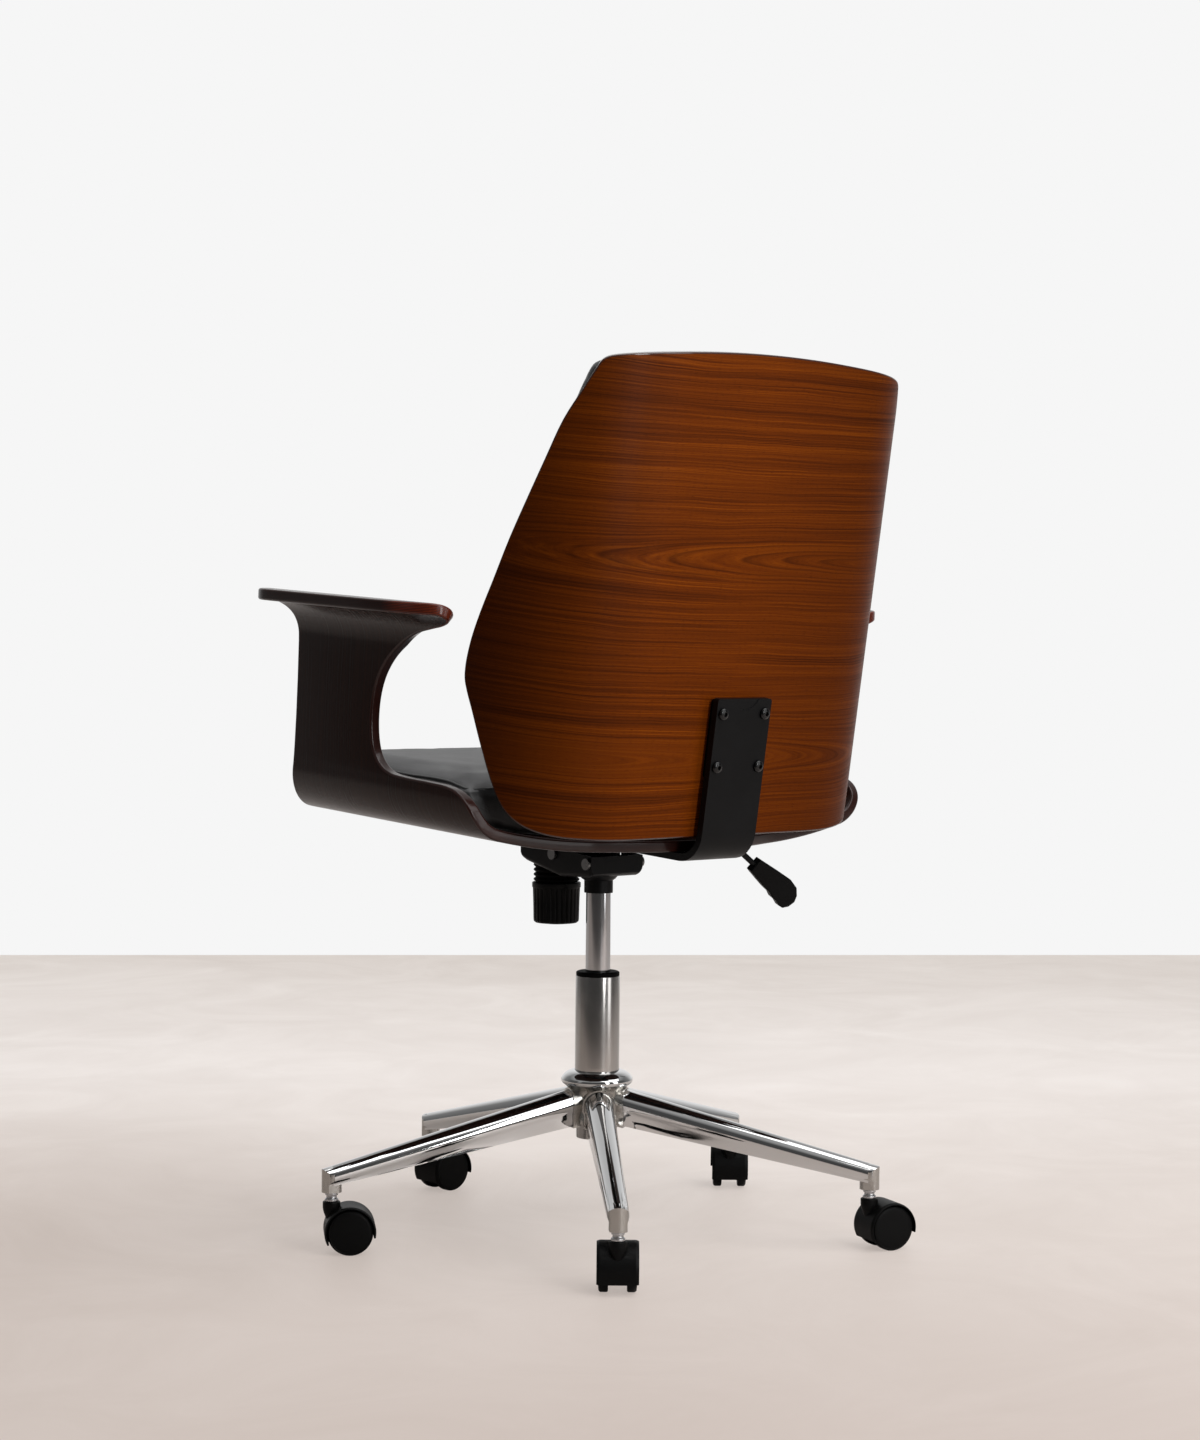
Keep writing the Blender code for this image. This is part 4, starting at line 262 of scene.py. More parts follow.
def veneer(name, darks, mids, lights, eyes, roughness, coat, spec, depth=1.0, wing_shade_share=1.0):
    """Crown-cut veneer: rings round long ellipses along the first flat axis, with painted shade darkening it
    towards the wings.
    """
    made, net = new_material(name, mids, roughness, Coat_Weight=coat, Coat_Roughness=0.3,
                             Specular_IOR_Level=spec)
    run, along, _ = net.split(flat_space(net))
    slow = net.noise(net.vector(net.times(run, 3.4), net.times(along, 9.0)), 1.0, 3.0)
    wave = net.times(net.minus(slow, 0.5), 0.016)
    ring = None
    for centre, height, pull in eyes:
        across = net.plus(net.minus(along, height), wave)
        inward = net.times(net.minus(run, centre), pull)
        oval = net.math("SQRT", net.plus(net.times(across, across), net.times(inward, inward)))
        ring = oval if ring is None else net.math("MINIMUM", ring, oval)
    shift = net.span(along, eyes[0][1] - 0.02, eyes[0][1] + 0.02, 0.0, 1.6)
    drift = net.plus(net.times(run, 1.5), shift)

    def streaks(pitch, stretch, detail, seed):
        spot = net.vector(net.times(ring, 1.0 / pitch), net.times(drift, stretch), seed)
        return net.noise(spot, 1.0, detail, 0.6)

    parts = ((streaks(0.017, 0.4, 2.0, 0.0), 0.18), (streaks(0.005, 0.5, 3.0, 3.0), 0.27),
             (streaks(0.0018, 1.2, 3.0, 7.0), 0.32), (streaks(0.0007, 4.0, 2.0, 11.0), 0.23))
    tone = None
    for value, share in parts:
        value = net.times(value, share)
        tone = value if tone is None else net.plus(tone, value)
    calm = net.span(ring, 0.026, 0.014, 0.0, 0.6)
    tone = net.plus(net.times(tone, net.minus(1.0, calm)), net.times(calm, 0.555))
    half = tuple((a + b) / 2.0 for a, b in zip(darks, mids))
    colour = net.ramp(tone, ((0.375, darks), (0.44, half), (0.505, mids), (0.605, lights)))
    stops = [(0.0, BLACK)]
    for radius in GROWTH_RINGS:
        middle = radius / RING_REACH
        stops += [(middle - 0.05, BLACK), (middle, WHITE), (middle + 0.014, BLACK)]
    line = net.ramp(net.span(ring, 0.0, RING_REACH), stops)
    depth_of = net.span(along, -0.02, 0.06, 0.22, 0.55)
    colour = net.mix(net.times(line, net.times(depth_of, depth)), colour, darks)
    # Painted shade: the colour darkens towards both wings, standing in for the light falling off there.
    painted_wing_shade = net.math("MAXIMUM", net.span(run, 0.0, -0.2, 0.0, 0.5), net.span(run, 0.13, 0.3, 0.0, 0.65))
    colour = net.mix(net.times(painted_wing_shade, wing_shade_share), colour, darks)
    pores = net.noise(net.vector(net.times(along, 2300.0), net.times(run, 130.0), 2.0), 1.0, 1.0, 0.5)
    dash = net.span(pores, 0.4, 0.3)
    colour = net.mix(net.times(dash, 0.45 * depth), colour, darks)
    net.surface(Base_Color=colour, Roughness=net.span(tone, 0.4, 0.6, roughness + 0.05, roughness - 0.03),
                Normal=net.bump(net.minus(tone, dash), 0.06 * depth, 0.0003))
    return made


def ply_edge(name, light, dark, coat, layered_tip=None):
    """Cut edge of the plywood: thin veneers stacked through the sheet, darkened all over but for a strip near
    the arm rest's tip.
    """
    made, net = new_material(name, light, 0.3, Coat_Weight=coat, Coat_Roughness=0.1,
                             Specular_IOR_Level=0.3)
    depth, girth, _ = net.split(net.node("ShaderNodeUVMap", {"uv_map": "edge"}).outputs[0])
    wander = net.noise(net.vector(net.times(girth, 60.0), 0.0), 1.0, 2.0)
    level = net.plus(net.times(depth, 620.0), net.times(wander, 0.35))
    stripe = net.math("FRACT", level)
    layer = net.ramp(stripe, ((0.0, dark), (0.1, dark), (0.26, light), (0.6, light), (0.76, dark)))
    fibre = net.noise(net.vector(net.times(girth, 900.0), net.times(depth, 5000.0)), 1.0, 2.0)
    layer = net.mix(net.span(fibre, 0.35, 0.7, 0.0, 0.5), layer, dark)
    if layered_tip:
        # Outside the given strip the layers are darkened to near black.
        run, along, _ = net.split(flat_space(net))
        tip_share = net.times(net.span(net.math("ABSOLUTE", run), 0.465, 0.49), net.span(along, *layered_tip))
        darkened_layers = net.mix(0.88, layer, tuple(c * 0.45 for c in dark))
        layer = net.mix(tip_share, darkened_layers, layer)
    net.surface(Base_Color=layer, Normal=net.bump(fibre, 0.08, 0.0002))
    return made


def leather(name, colour):
    """Smooth upholstery leather with a fine pebble and faint creasing; the darker copy made with it is
    painted shade.
    """
    made, net = new_material(name, colour, 0.46, Sheen_Weight=0.45, Sheen_Roughness=0.45)
    spot = object_space(net)
    pebble = net.node("ShaderNodeTexVoronoi", {"feature": "SMOOTH_F1"}, Vector=spot, Scale=620.0).outputs[0]
    pores = net.noise(spot, 1900.0, 2.0)
    folds = net.noise(spot, 34.0, 4.0, 0.6, 1.2)
    tone = net.noise(spot, 9.0, 3.0)
    light = tuple(min(1.0, c * 1.28) for c in colour)
    dark = tuple(c * 0.8 for c in colour)
    net.surface(Base_Color=net.ramp(tone, ((0.3, dark), (0.7, light))),
                Roughness=net.span(folds, 0.3, 0.7, 0.44, 0.54))
    first = net.bump(net.plus(pebble, net.times(pores, 0.4)), 0.22, 0.0006)
    net.surface(Normal=net.bump(folds, 0.05, 0.002, first))
    return made


def polished(name, colour, roughness, smear, brushed=None):
    """Bare or plated metal with a faint haze, and brush lines where their pitch is given."""
    made, net = new_material(name, colour, roughness, 1.0)
    spot = object_space(net)
    haze = net.noise(spot, 38.0, 3.0)
    net.surface(Roughness=net.span(haze, 0.3, 0.75, max(0.02, roughness - smear), roughness + smear))
    if brushed:
        stretched = [net.times(place, pitch) for place, pitch in zip(net.split(spot), brushed)]
        streak = net.noise(net.vector(*stretched), 1.0, 3.0)
        shade = tuple(c * 0.93 for c in colour)
        net.surface(Normal=net.bump(streak, 0.03, 0.0001),
                    Base_Color=net.ramp(streak, ((0.35, shade), (0.65, colour))))
    return made


def moulded(name, colour, roughness, grain=900.0, strength=0.2, metallic=0.0, coat=0.0, spec=0.3):
    """Grained plastic, rubber or powder-coated steel."""
    made, net = new_material(name, colour, roughness, metallic, Coat_Weight=coat,
                             Coat_Roughness=0.25, Specular_IOR_Level=spec)
    spot = object_space(net)
    fine = net.noise(spot, grain, 2.0)
    broad = net.noise(spot, 26.0, 3.0)
    light = tuple(c * 1.3 + 0.0005 for c in colour)
    net.surface(Base_Color=net.ramp(broad, ((0.35, colour), (0.75, light))),
                Roughness=net.span(broad, 0.3, 0.7, roughness - 0.05, roughness + 0.05),
                Normal=net.bump(fine, strength, 0.0003))
    return made


MATERIALS = {
    # The walnut back takes the painted wing shade at full share; the espresso seat passes none.
    "walnut_back": veneer("walnut_veneer", srgb(54, 20, 3), srgb(110, 48, 5), srgb(142, 68, 8),
                          ((-0.2, 0.12, 0.06), (0.24, -0.094, 0.055)), 0.4, 0.0, 0.04),
    "espresso_seat": veneer("espresso_veneer", srgb(32, 12, 5), srgb(44, 18, 8), srgb(55, 26, 13),
                            ((0.0, -0.6, 0.02), (0.2, 0.5, 0.03)), 0.24, 0.12, 0.14, 0.5, 0.0),
    "walnut_edge": ply_edge("walnut_ply_edge", srgb(74, 34, 16), srgb(34, 15, 9), 0.8),
    "espresso_edge": ply_edge("espresso_ply_edge", srgb(132, 50, 24), srgb(44, 16, 10), 0.22, (0.042, 0.062)),
    # Lit copy of the pads' leather: its own dark grey, lifted in part as painted sheen on the lit top.
    "dark_upholstery": leather("dark_leather", srgb(88, 88, 89)),
    "polished_chrome": polished("polished_chrome", (0.68, 0.68, 0.68), 0.05, 0.02),
    "brushed_chrome": polished("brushed_chrome", (0.46, 0.445, 0.43), 0.2, 0.03, (1500.0, 1500.0, 3.0)),
    "ground_chrome": polished("ground_chrome", (0.5, 0.5, 0.51), 0.12, 0.02),
    "oiled_steel": polished("oiled_steel", (0.16, 0.16, 0.16), 0.3, 0.06),
    # Shaded copy of the same leather, much darker: painted shade on the pads' sides, backs and cord.
    "painted_shade_upholstery": leather("painted_shade_leather", srgb(30, 30, 31)),
    "zinc_steel": polished("zinc_steel", (0.5, 0.5, 0.51), 0.28, 0.06),
    "black_steel": moulded("black_powder_coat", srgb(13, 13, 14), 0.4, 1500.0, 0.12, spec=0.12),
    "black_nylon": moulded("black_nylon", srgb(6, 6, 6), 0.44, 1200.0, 0.18, spec=0.1),
    "black_rubber": moulded("black_rubber", srgb(3, 3, 3), 0.6, 700.0, 0.22, spec=0.05),
    "black_screw": moulded("black_screw", srgb(8, 8, 9), 0.2, 600.0, 0.05, 0.5, 0.5),
    "satin_casting": polished("satin_casting", (0.46, 0.445, 0.42), 0.26, 0.03),
}
for entry in frame["record"]["subparts"]:
    node = NODES[entry["node"]]
    node.data.materials.clear()
    node.data.materials.append(MATERIALS[entry["material_slot"]])
for name in ("housing_cross_bolt", "tilt_pivot_pin"):
    NODES[name].data.materials[0] = MATERIALS["oiled_steel"]
BODY_OF = {n: body for body, nodes in frame["record"]["behaviour"]["bodies"].items() for n in nodes}
SLOT_OF = {entry["node"]: entry["material_slot"] for entry in frame["record"]["subparts"]}


# Mesh helpers
def mesh_from(bm, name):
    mesh = bpy.data.meshes.new(name)
    bm.to_mesh(mesh)
    bm.free()
    return mesh


def linked(name, data):
    obj = bpy.data.objects.new(name, data)
    SCENE.collection.objects.link(obj)
    return obj


def smooth_faces(mesh):
    mesh.polygons.foreach_set("use_smooth", [True] * len(mesh.polygons))


def finish_mesh(name, bm, degrees=35.0):
    bmesh.ops.remove_doubles(bm, verts=bm.verts, dist=1e-6)
    bmesh.ops.recalc_face_normals(bm, faces=bm.faces)
    mesh = mesh_from(bm, name)
    smooth_faces(mesh)
    mesh.set_sharp_from_angle(angle=math.radians(degrees))
    return mesh


def two_tone(mesh, first, second, is_second):
    """Give a mesh two materials, the second on the faces that pass a test."""
    mesh.materials.append(MATERIALS[first])
    mesh.materials.append(MATERIALS[second])
    for face in mesh.polygons:
        face.material_index = 1 if is_second(face) else 0


def add_piece(name, mesh, node, material=None):
    """Link a mesh as the piece that stands for a CAD node."""
    slot = SLOT_OF[node]
    obj = linked(name, mesh)
    if not mesh.materials:
        mesh.materials.append(material or MATERIALS[slot])
    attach(obj, BODY_OF[node])
    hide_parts(node)
    return obj


def modify(obj, kind, **settings):
    """Add a modifier with these settings."""
    set_all(obj.modifiers.new(kind.lower(), kind), **settings)


def apply_modifiers(obj):
    """Bake an object's modifiers into its mesh."""
    graph = bpy.context.evaluated_depsgraph_get()
    graph.update()
    mesh = bpy.data.meshes.new_from_object(obj.evaluated_get(graph))
    obj.modifiers.clear()
    mesh.name = obj.data.name + "_shaped"
    obj.data = mesh


def scratch_object(bm, name):
    bmesh.ops.recalc_face_normals(bm, faces=bm.faces)
    return linked(name, mesh_from(bm, name))


def back_to_bmesh(obj):
    """An object's mesh as a bmesh, the object itself being removed."""
    bm = bmesh.new()
    bm.from_mesh(obj.data)
    bpy.data.objects.remove(obj, do_unlink=True)
    return bm


def boolean(target, operand_bm, operation):
    operand = scratch_object(operand_bm, "operand")
    modify(target, "BOOLEAN", operation=operation, solver="EXACT", object=operand)
    apply_modifiers(target)
    bpy.data.objects.remove(operand, do_unlink=True)


def soften(obj, width, segments, degrees):
    """Round the edges that turn by more than an angle."""
    modify(obj, "BEVEL", width=width, segments=segments, limit_method="ANGLE",
           angle_limit=math.radians(degrees), use_clamp_overlap=True)
    apply_modifiers(obj)
    smooth_faces(obj.data)
    obj.data.set_sharp_from_angle(angle=math.radians(40.0))
    modify(obj, "WEIGHTED_NORMAL", keep_sharp=True, weight=60)
    apply_modifiers(obj)


def take_mesh(obj):
    mesh = obj.data
    bpy.data.objects.remove(obj, do_unlink=True)
    mesh.materials.clear()
    return mesh


def lathe(profile, segments, closed=False):
    """A (radius, height) profile turned about Z."""
    bm = bmesh.new()
    verts = [bm.verts.new((r, 0.0, z)) for r, z in profile]
    edges = [bm.edges.new(pair) for pair in zip(verts, verts[1:])]
    if closed:
        edges.append(bm.edges.new((verts[-1], verts[0])))
    bmesh.ops.spin(bm, geom=verts + edges, cent=(0, 0, 0), axis=(0, 0, 1), angle=2.0 * math.pi,
                   steps=segments)
    bmesh.ops.remove_doubles(bm, verts=bm.verts, dist=3e-6)
    bmesh.ops.recalc_face_normals(bm, faces=bm.faces)
    return bm


def cylinder(radius, low, high, segments):
    return lathe([(0.0, low), (radius, low), (radius, high), (0.0, high)], segments)


def skin(bm, rings):
    """Join rings of vertices, each to the next, with faces all the way round."""
    for low, high in zip(rings, rings[1:]):
        for i in range(len(low)):
            j = (i + 1) % len(low)
            bm.faces.new((low[i], low[j], high[j], high[i]))


def rounded(profile, radius, steps):
    """Round the inner corners of an open (radius, height) profile."""
    made = [profile[0]]
    for before, here, after in zip(profile, profile[1:], profile[2:]):
        a, b, c = Vector(before), Vector(here), Vector(after)
        reach = min(radius, (a - b).length * 0.45, (c - b).length * 0.45)
        start, end = b + (a - b).normalized() * reach, b + (c - b).normalized() * reach
        for i in range(steps + 1):
            t = i / steps
            spot = start * (1 - t) ** 2 + b * 2 * t * (1 - t) + end * t ** 2
            made.append((spot.x, spot.y))
    made.append(profile[-1])
    return made


def moved(bm, matrix):
    bmesh.ops.transform(bm, matrix=matrix, verts=bm.verts)
    return bm


def turn(angle, axis):
    return Matrix.Rotation(angle, 4, axis)


def arc(centre, radius, start, end, count):
    return [(centre[0] + radius * math.cos(start + (end - start) * i / count),
             centre[1] + radius * math.sin(start + (end - start) * i / count))
            for i in range(count + 1)]


def circle(spot, side, up, radius, sides):
    """Points round a spot, in the plane of two directions."""
    turns = [2 * math.pi * k / sides for k in range(sides)]
    return [spot + (side * math.cos(a) + up * math.sin(a)) * radius for a in turns]


def sweep(points, radius, sides):
    """Round rod along a polyline."""
    bm = bmesh.new()
    rings, side = [], None
    for i, point in enumerate(points):
        along = (points[min(i + 1, len(points) - 1)] - points[max(i - 1, 0)]).normalized()
        side = along.orthogonal().normalized() if side is None else side
        side = (side - along * side.dot(along)).normalized()
        rings.append([bm.verts.new(p) for p in circle(point, side, along.cross(side), radius, sides)])
    skin(bm, rings)
    bm.faces.new(rings[0])
    bm.faces.new(rings[-1])
    return bm


def between(a, b, low, high, at):
    return a * ((high - at) / (high - low)) + b * ((at - low) / (high - low))


def smooth_loop(points, steps):
    """Centripetal curve through the corners of a closed outline, kept within the corners' box."""
    made = []
    count = len(points)
    for i in range(count):
        p = [Vector(points[(i + k - 1) % count]) for k in range(4)]
        t = [0.0]
        for a, b in zip(p, p[1:]):
            t.append(t[-1] + max(1e-9, (b - a).length) ** 0.5)
        for j in range(steps):
            s = t[1] + (t[2] - t[1]) * j / steps
            a1, a2, a3 = (between(p[k], p[k + 1], t[k], t[k + 1], s) for k in range(3))
            first, second = between(a1, a2, t[0], t[2], s), between(a2, a3, t[1], t[3], s)
            spot = between(first, second, t[1], t[2], s)
            made.append((spot.x, spot.y))
    low = [min(p[k] for p in points) for k in range(2)]
    high = [max(p[k] for p in points) for k in range(2)]
    return [tuple(min(max(p[k], low[k]), high[k]) for k in range(2)) for p in made]


def inset(points, distance):
    """A closed outline moved inwards."""
    area = sum(ax * by - bx * ay for (ax, ay), (bx, by) in zip(points, points[1:] + points[:1]))
    sign = 1.0 if area > 0.0 else -1.0
    made = []
    for i, here in enumerate(points):
        first = (Vector(here) - Vector(points[i - 1])).normalized()
        second = (Vector(points[(i + 1) % len(points)]) - Vector(here)).normalized()
        a = Vector((-first.y, first.x)) * sign
        b = Vector((-second.y, second.x)) * sign
        middle = (a + b).normalized()
        spot = Vector(here) + middle * distance / max(0.5, middle.dot(a))
        made.append((spot.x, spot.y))
    return made


# Bent plywood
def section_of(steps):
    """Bent centre line as run, point and normal lists, mirrored about the middle."""
    x, z, angle, run = 0.0, 0.0, 0.0, 0.0
    half = [(0.0, 0.0, 0.0, 0.0)]
    for length, bend, facets in steps:
        for _ in range(facets):
            angle += bend / facets / 2.0
            x += length / facets * math.cos(angle)
            z += length / facets * math.sin(angle)
            run += length / facets
            angle += bend / facets / 2.0
            half.append((run, x, z, angle))
    return [(-r, -px, pz, -a) for r, px, pz, a in reversed(half[1:])] + half


def on_section(section, run, depth):
    """Where a spot of the flat sheet lies after bending, seen along the bends."""
    i = 0
    while i < len(section) - 2 and run > section[i + 1][0]:
        i += 1
    low, high = section[i], section[i + 1]
    share = (run - low[0]) / (high[0] - low[0])
    _, x, z, angle = (a + (b - a) * share for a, b in zip(low, high))
    return x - math.sin(angle) * depth, z + math.cos(angle) * depth


def seat_matrix():
    return Matrix.Translation(COLUMN + Vector((0.0, 0.0, SEAT_Z))) @ turn(-SEAT_PITCH, "X")


def back_matrix():
    return Matrix.Translation(COLUMN + Vector((0.0, BACK_Y, BACK_Z))) @ turn(-BACK_LEAN, "X")


def seat_place(across, along, depth):
    return Vector((across, along, depth))


def back_place(across, along, depth):
    return Vector((across, -depth, along))


def full_outline(half):
    return list(half) + [(-a, b) for a, b in reversed(half[1:-1])]


def bent_ply(name, node, half, steps, place, matrix, face, edge, ease):
    """Cut a blank with eased edges, slice it at the bends and bend it."""
    outline = smooth_loop(full_outline(half), 4)
    quarter = [(ease * (1 - math.sin(t)), ease * (1 - math.cos(t)))
               for t in (math.pi / 2 * i / 6 for i in range(7))]
    rings = quarter + [(0.0, PLY / 2)] + [(a, PLY - b) for a, b in reversed(quarter)]
    bm = bmesh.new()
    flat = bm.loops.layers.uv.new("flat")
    edge_map = bm.loops.layers.uv.new("edge")
    levels = []
    for narrow, depth in rings:
        loop = inset(outline, narrow) if narrow > 1e-9 else outline
        levels.append([bm.verts.new((a, b, depth)) for a, b in loop])
    bm.faces.new(levels[0])
    bm.faces.new(levels[-1])
    count = len(outline)
    girth = [0.0]
    for a, b in zip(outline, outline[1:] + outline[:1]):
        girth.append(girth[-1] + (Vector(b) - Vector(a)).length)
    for low, high in zip(levels, levels[1:]):
        for i in range(count):
            j = (i + 1) % count
            made = bm.faces.new((low[i], low[j], high[j], high[i]))
            made.material_index = 1
            for loop, length in zip(made.loops, (girth[i], girth[i + 1], girth[i + 1], girth[i])):
                loop[edge_map].uv = (loop.vert.co.z, length)
    section = section_of(steps)
    for run in [entry[0] for entry in section[1:-1]]:
        geom = list(bm.verts) + list(bm.edges) + list(bm.faces)
        bmesh.ops.bisect_plane(bm, geom=geom, dist=1e-7, plane_co=(run, 0, 0), plane_no=(1, 0, 0))
    for made in bm.faces:
        for loop in made.loops:
            loop[flat].uv = (loop.vert.co.x, loop.vert.co.y)
    for vert in bm.verts:
        across, depth = on_section(section, vert.co.x, vert.co.z)
        vert.co = matrix @ place(across, vert.co.y, depth)
    mesh = finish_mesh(name, bm, 30.0)
    mesh.materials.append(MATERIALS[face])
    mesh.materials.append(MATERIALS[edge])
    return add_piece(name, mesh, node)


def build_shells():
    bent_ply("seat_ply", "seat_shell", SEAT_BLANK, SEAT_STEPS, seat_place, seat_matrix(),
             "espresso_seat", "espresso_edge", SEAT_EASE)
    bent_ply("back_ply", "back_shell", BACK_BLANK, BACK_STEPS, back_place, back_matrix(),
             "walnut_back", "walnut_edge", BACK_EASE)


# Upholstery
def inflate(obj, pinned, cap):
    """Swell a remeshed pad with cloth pressure, no point moving further than the cap."""
    start = [v.co.copy() for v in obj.data.vertices]
    group = obj.vertex_groups.new(name="held")
    for vert in obj.data.vertices:
        if pinned(vert.co):
            group.add([vert.index], 1.0, "REPLACE")
    settings = obj.modifiers.new("cloth", "CLOTH").settings
    set_all(settings, quality=5, mass=0.3, tension_stiffness=18.0, compression_stiffness=18.0,
            shear_stiffness=8.0, bending_stiffness=1.2, use_pressure=True, uniform_pressure_force=4.0,
            vertex_group_mass="held")
    settings.effector_weights.gravity = 0.0
    for number in range(1, 21):
        SCENE.frame_set(number)
    apply_modifiers(obj)
    SCENE.frame_set(1)
    for vert, origin in zip(obj.data.vertices, start):
        shift = vert.co - origin
        if shift.length > cap:
            vert.co = origin + shift * (cap / shift.length)


def remeshed(source, name, voxel):
    """A copy of an object as an even grid of faces, ready to swell."""
    obj = linked(name, source.data.copy())
    modify(obj, "REMESH", mode="VOXEL", voxel_size=voxel, use_smooth_shade=True)
    apply_modifiers(obj)
    modify(obj, "SMOOTH", factor=0.5, iterations=3)
    apply_modifiers(obj)
    return obj


def top_rim(mesh, inverse):
    """Where the top panel turns over into the side, as a closed loop in the pad's own frame."""
    turned = inverse.to_3x3()
    slices, count = {}, 144
    for face in mesh.polygons:
        up = (turned @ face.normal).z
        spot = inverse @ face.center
        if up > 0.62 and spot.z > 0.035:
            key = int((math.atan2(spot.y, spot.x) + math.pi) / (2 * math.pi) * count) % count
            if key not in slices or spot.xy.length > slices[key].xy.length:
                slices[key] = spot
    loop = [slices[k] for k in sorted(slices)]
    for _ in range(2):
        before, after = loop[-1:] + loop[:-1], loop[1:] + loop[:1]
        loop = [(a + b * 2.0 + c) / 4.0 for a, b, c in zip(before, loop, after)]
    return loop


def welt(loop, matrix, radius, sides=10):
    """A sewn cord along a closed loop."""
    bm = bmesh.new()
    rings = []
    for i, spot in enumerate(loop):
        along = (loop[(i + 1) % len(loop)] - loop[i - 1]).normalized()
        side = along.cross(Vector((0.0, 0.0, 1.0))).normalized()
        up = side.cross(along)
        rings.append([bm.verts.new(matrix @ p) for p in circle(spot, side, up, radius, sides)])
    skin(bm, rings + rings[:1])
    bmesh.ops.recalc_face_normals(bm, faces=bm.faces)
    return bm


def add_welt(mesh, matrix):
    """Sew the cord into the pad's mesh, in the painted-shade copy of the leather."""
    bm = welt(top_rim(mesh, matrix.inverted()), matrix, WELT_RADIUS)
    for face in bm.faces:
        face.material_index = 1
    bm.from_mesh(mesh)
    bm.to_mesh(mesh)
    bm.free()


def spread_rim(mesh, matrix):
    """Move the back pad's upper sides outwards and forwards, where they show past the shell."""
    inverse, turned = matrix.inverted(), matrix.to_3x3()
    for vert in mesh.vertices:
        local = inverse @ vert.co
        aside = min(1.0, max(0.0, (abs(local.x) - 0.1) / 0.06))
        raised = min(1.0, max(0.0, (local.z - 0.05) / 0.1))
        away = Vector((math.copysign(0.3, local.x), -0.95, 0.0))
        vert.co += turned @ away * (BACK_RIM_SHIFT * (aside * raised))


def build_pad(name, node, held, matrix, corded=False):
    """A pad swollen out of its solid: corded along its top, or with its upper sides spread; its sides take
    the painted-shade leather.
    """
    obj = remeshed(NODES[node], name, PAD_VOXEL)
    inflate(obj, held, PAD_SWELL)
    modify(obj, "CORRECTIVE_SMOOTH", iterations=2, use_only_smooth=True)
    modify(obj, "SUBSURF", levels=1, render_levels=1)
    apply_modifiers(obj)
    mesh = take_mesh(obj)
    turned = matrix.inverted().to_3x3()

    # Painted shade: faces turned from the seat's top or the back's front get the darker copy of the leather.
    def in_painted_shade(face):
        local = turned @ face.normal
        return local.z <= 0.6 if corded else local.y >= -0.55

    if not corded:
        spread_rim(mesh, matrix)
    two_tone(mesh, "dark_upholstery", "painted_shade_upholstery", in_painted_shade)
    if corded:
        add_welt(mesh, matrix)
    smooth_faces(mesh)
    piece = add_piece(name, mesh, node)


def build_upholstery():
    seat, back = seat_matrix(), back_matrix()
    from_seat, from_back = seat.inverted(), back.inverted()

    def seat_held(spot):
        return (from_seat @ spot).z < 0.06

    def back_held(spot):
        local = from_back @ spot
        return local.y > -0.016 and abs(local.x) < 0.12

    build_pad("seat_pad", "seat_cushion", seat_held, seat, True)
    build_pad("back_pad", "back_cushion", back_held, back)


# Base
def leg_section(width, height, grow, deepen):
    """A leg's cross-section: a round back over a narrower web."""
    half = width / 2.0 + grow
    shoulder = width / 2.0 + width * 0.16
    web = half - 0.002
    low = -height - deepen - grow
    right = [(web, low), (web, -shoulder - 0.003), (half, -shoulder)]
    left = [(-half, -shoulder), (-web, -shoulder - 0.003), (-web, low)]
    return right + arc((0.0, -width / 2.0), half, 0.0, math.pi, 32) + left


def leg_loft(radii, grow=0.0, deepen=0.0):
    bm = bmesh.new()
    rings = []
    for radius in radii:
        share = (radius - LEG_START) / (LEG_REACH - LEG_START)
        top, width, height = (a + (b - a) * share for a, b in (LEG_TOP, LEG_WIDTH, LEG_HEIGHT))
        rings.append([bm.verts.new((radius, across, top + up))
                      for across, up in leg_section(width, height, grow, deepen)])
    skin(bm, rings)
    bm.faces.new(rings[0])
    bm.faces.new(rings[-1])
    bmesh.ops.recalc_face_normals(bm, faces=bm.faces)
    return bm


def build_hub():
    profile = rounded([
        (0.0, 0.1245), (0.03, 0.1245), (0.0322, 0.1268), (0.032, 0.133), (0.0306, 0.142),
        (0.0298, 0.151), (0.0302, 0.159), (0.032, 0.165), (0.0356, 0.1692), (0.0393, 0.1716),
        (0.0407, 0.1742), (0.0402, 0.1774), (0.0374, 0.1812), (0.0326, 0.1845), (0.027, 0.1862),
        (0.0, 0.1862),
    ], 0.003, 5)
    hub = scratch_object(lathe(profile, 160), "hub")
    for angle in LEG_ANGLES:
        boolean(hub, moved(leg_loft((0.025, 0.0346), 0.002), turn(angle, "Z")), "UNION")
    for angle in LEG_ANGLES:
        boolean(hub, moved(leg_loft((LEG_START - GAP, 0.052), GAP), turn(angle, "Z")), "DIFFERENCE")
    bore = lathe([(0.0, 0.12), (0.0239, 0.12), (0.0253, 0.19), (0.0, 0.19)], 120)
    boolean(hub, bore, "DIFFERENCE")
    soften(hub, 0.0005, 2, 38.0)
    hub.data.transform(Matrix.Translation(COLUMN))
    mesh = take_mesh(hub)
    two_tone(mesh, "satin_casting", "polished_chrome", lambda face: face.center.z > HUB_POLISHED_FROM)
    add_piece("hub_casting", mesh, "base_hub")


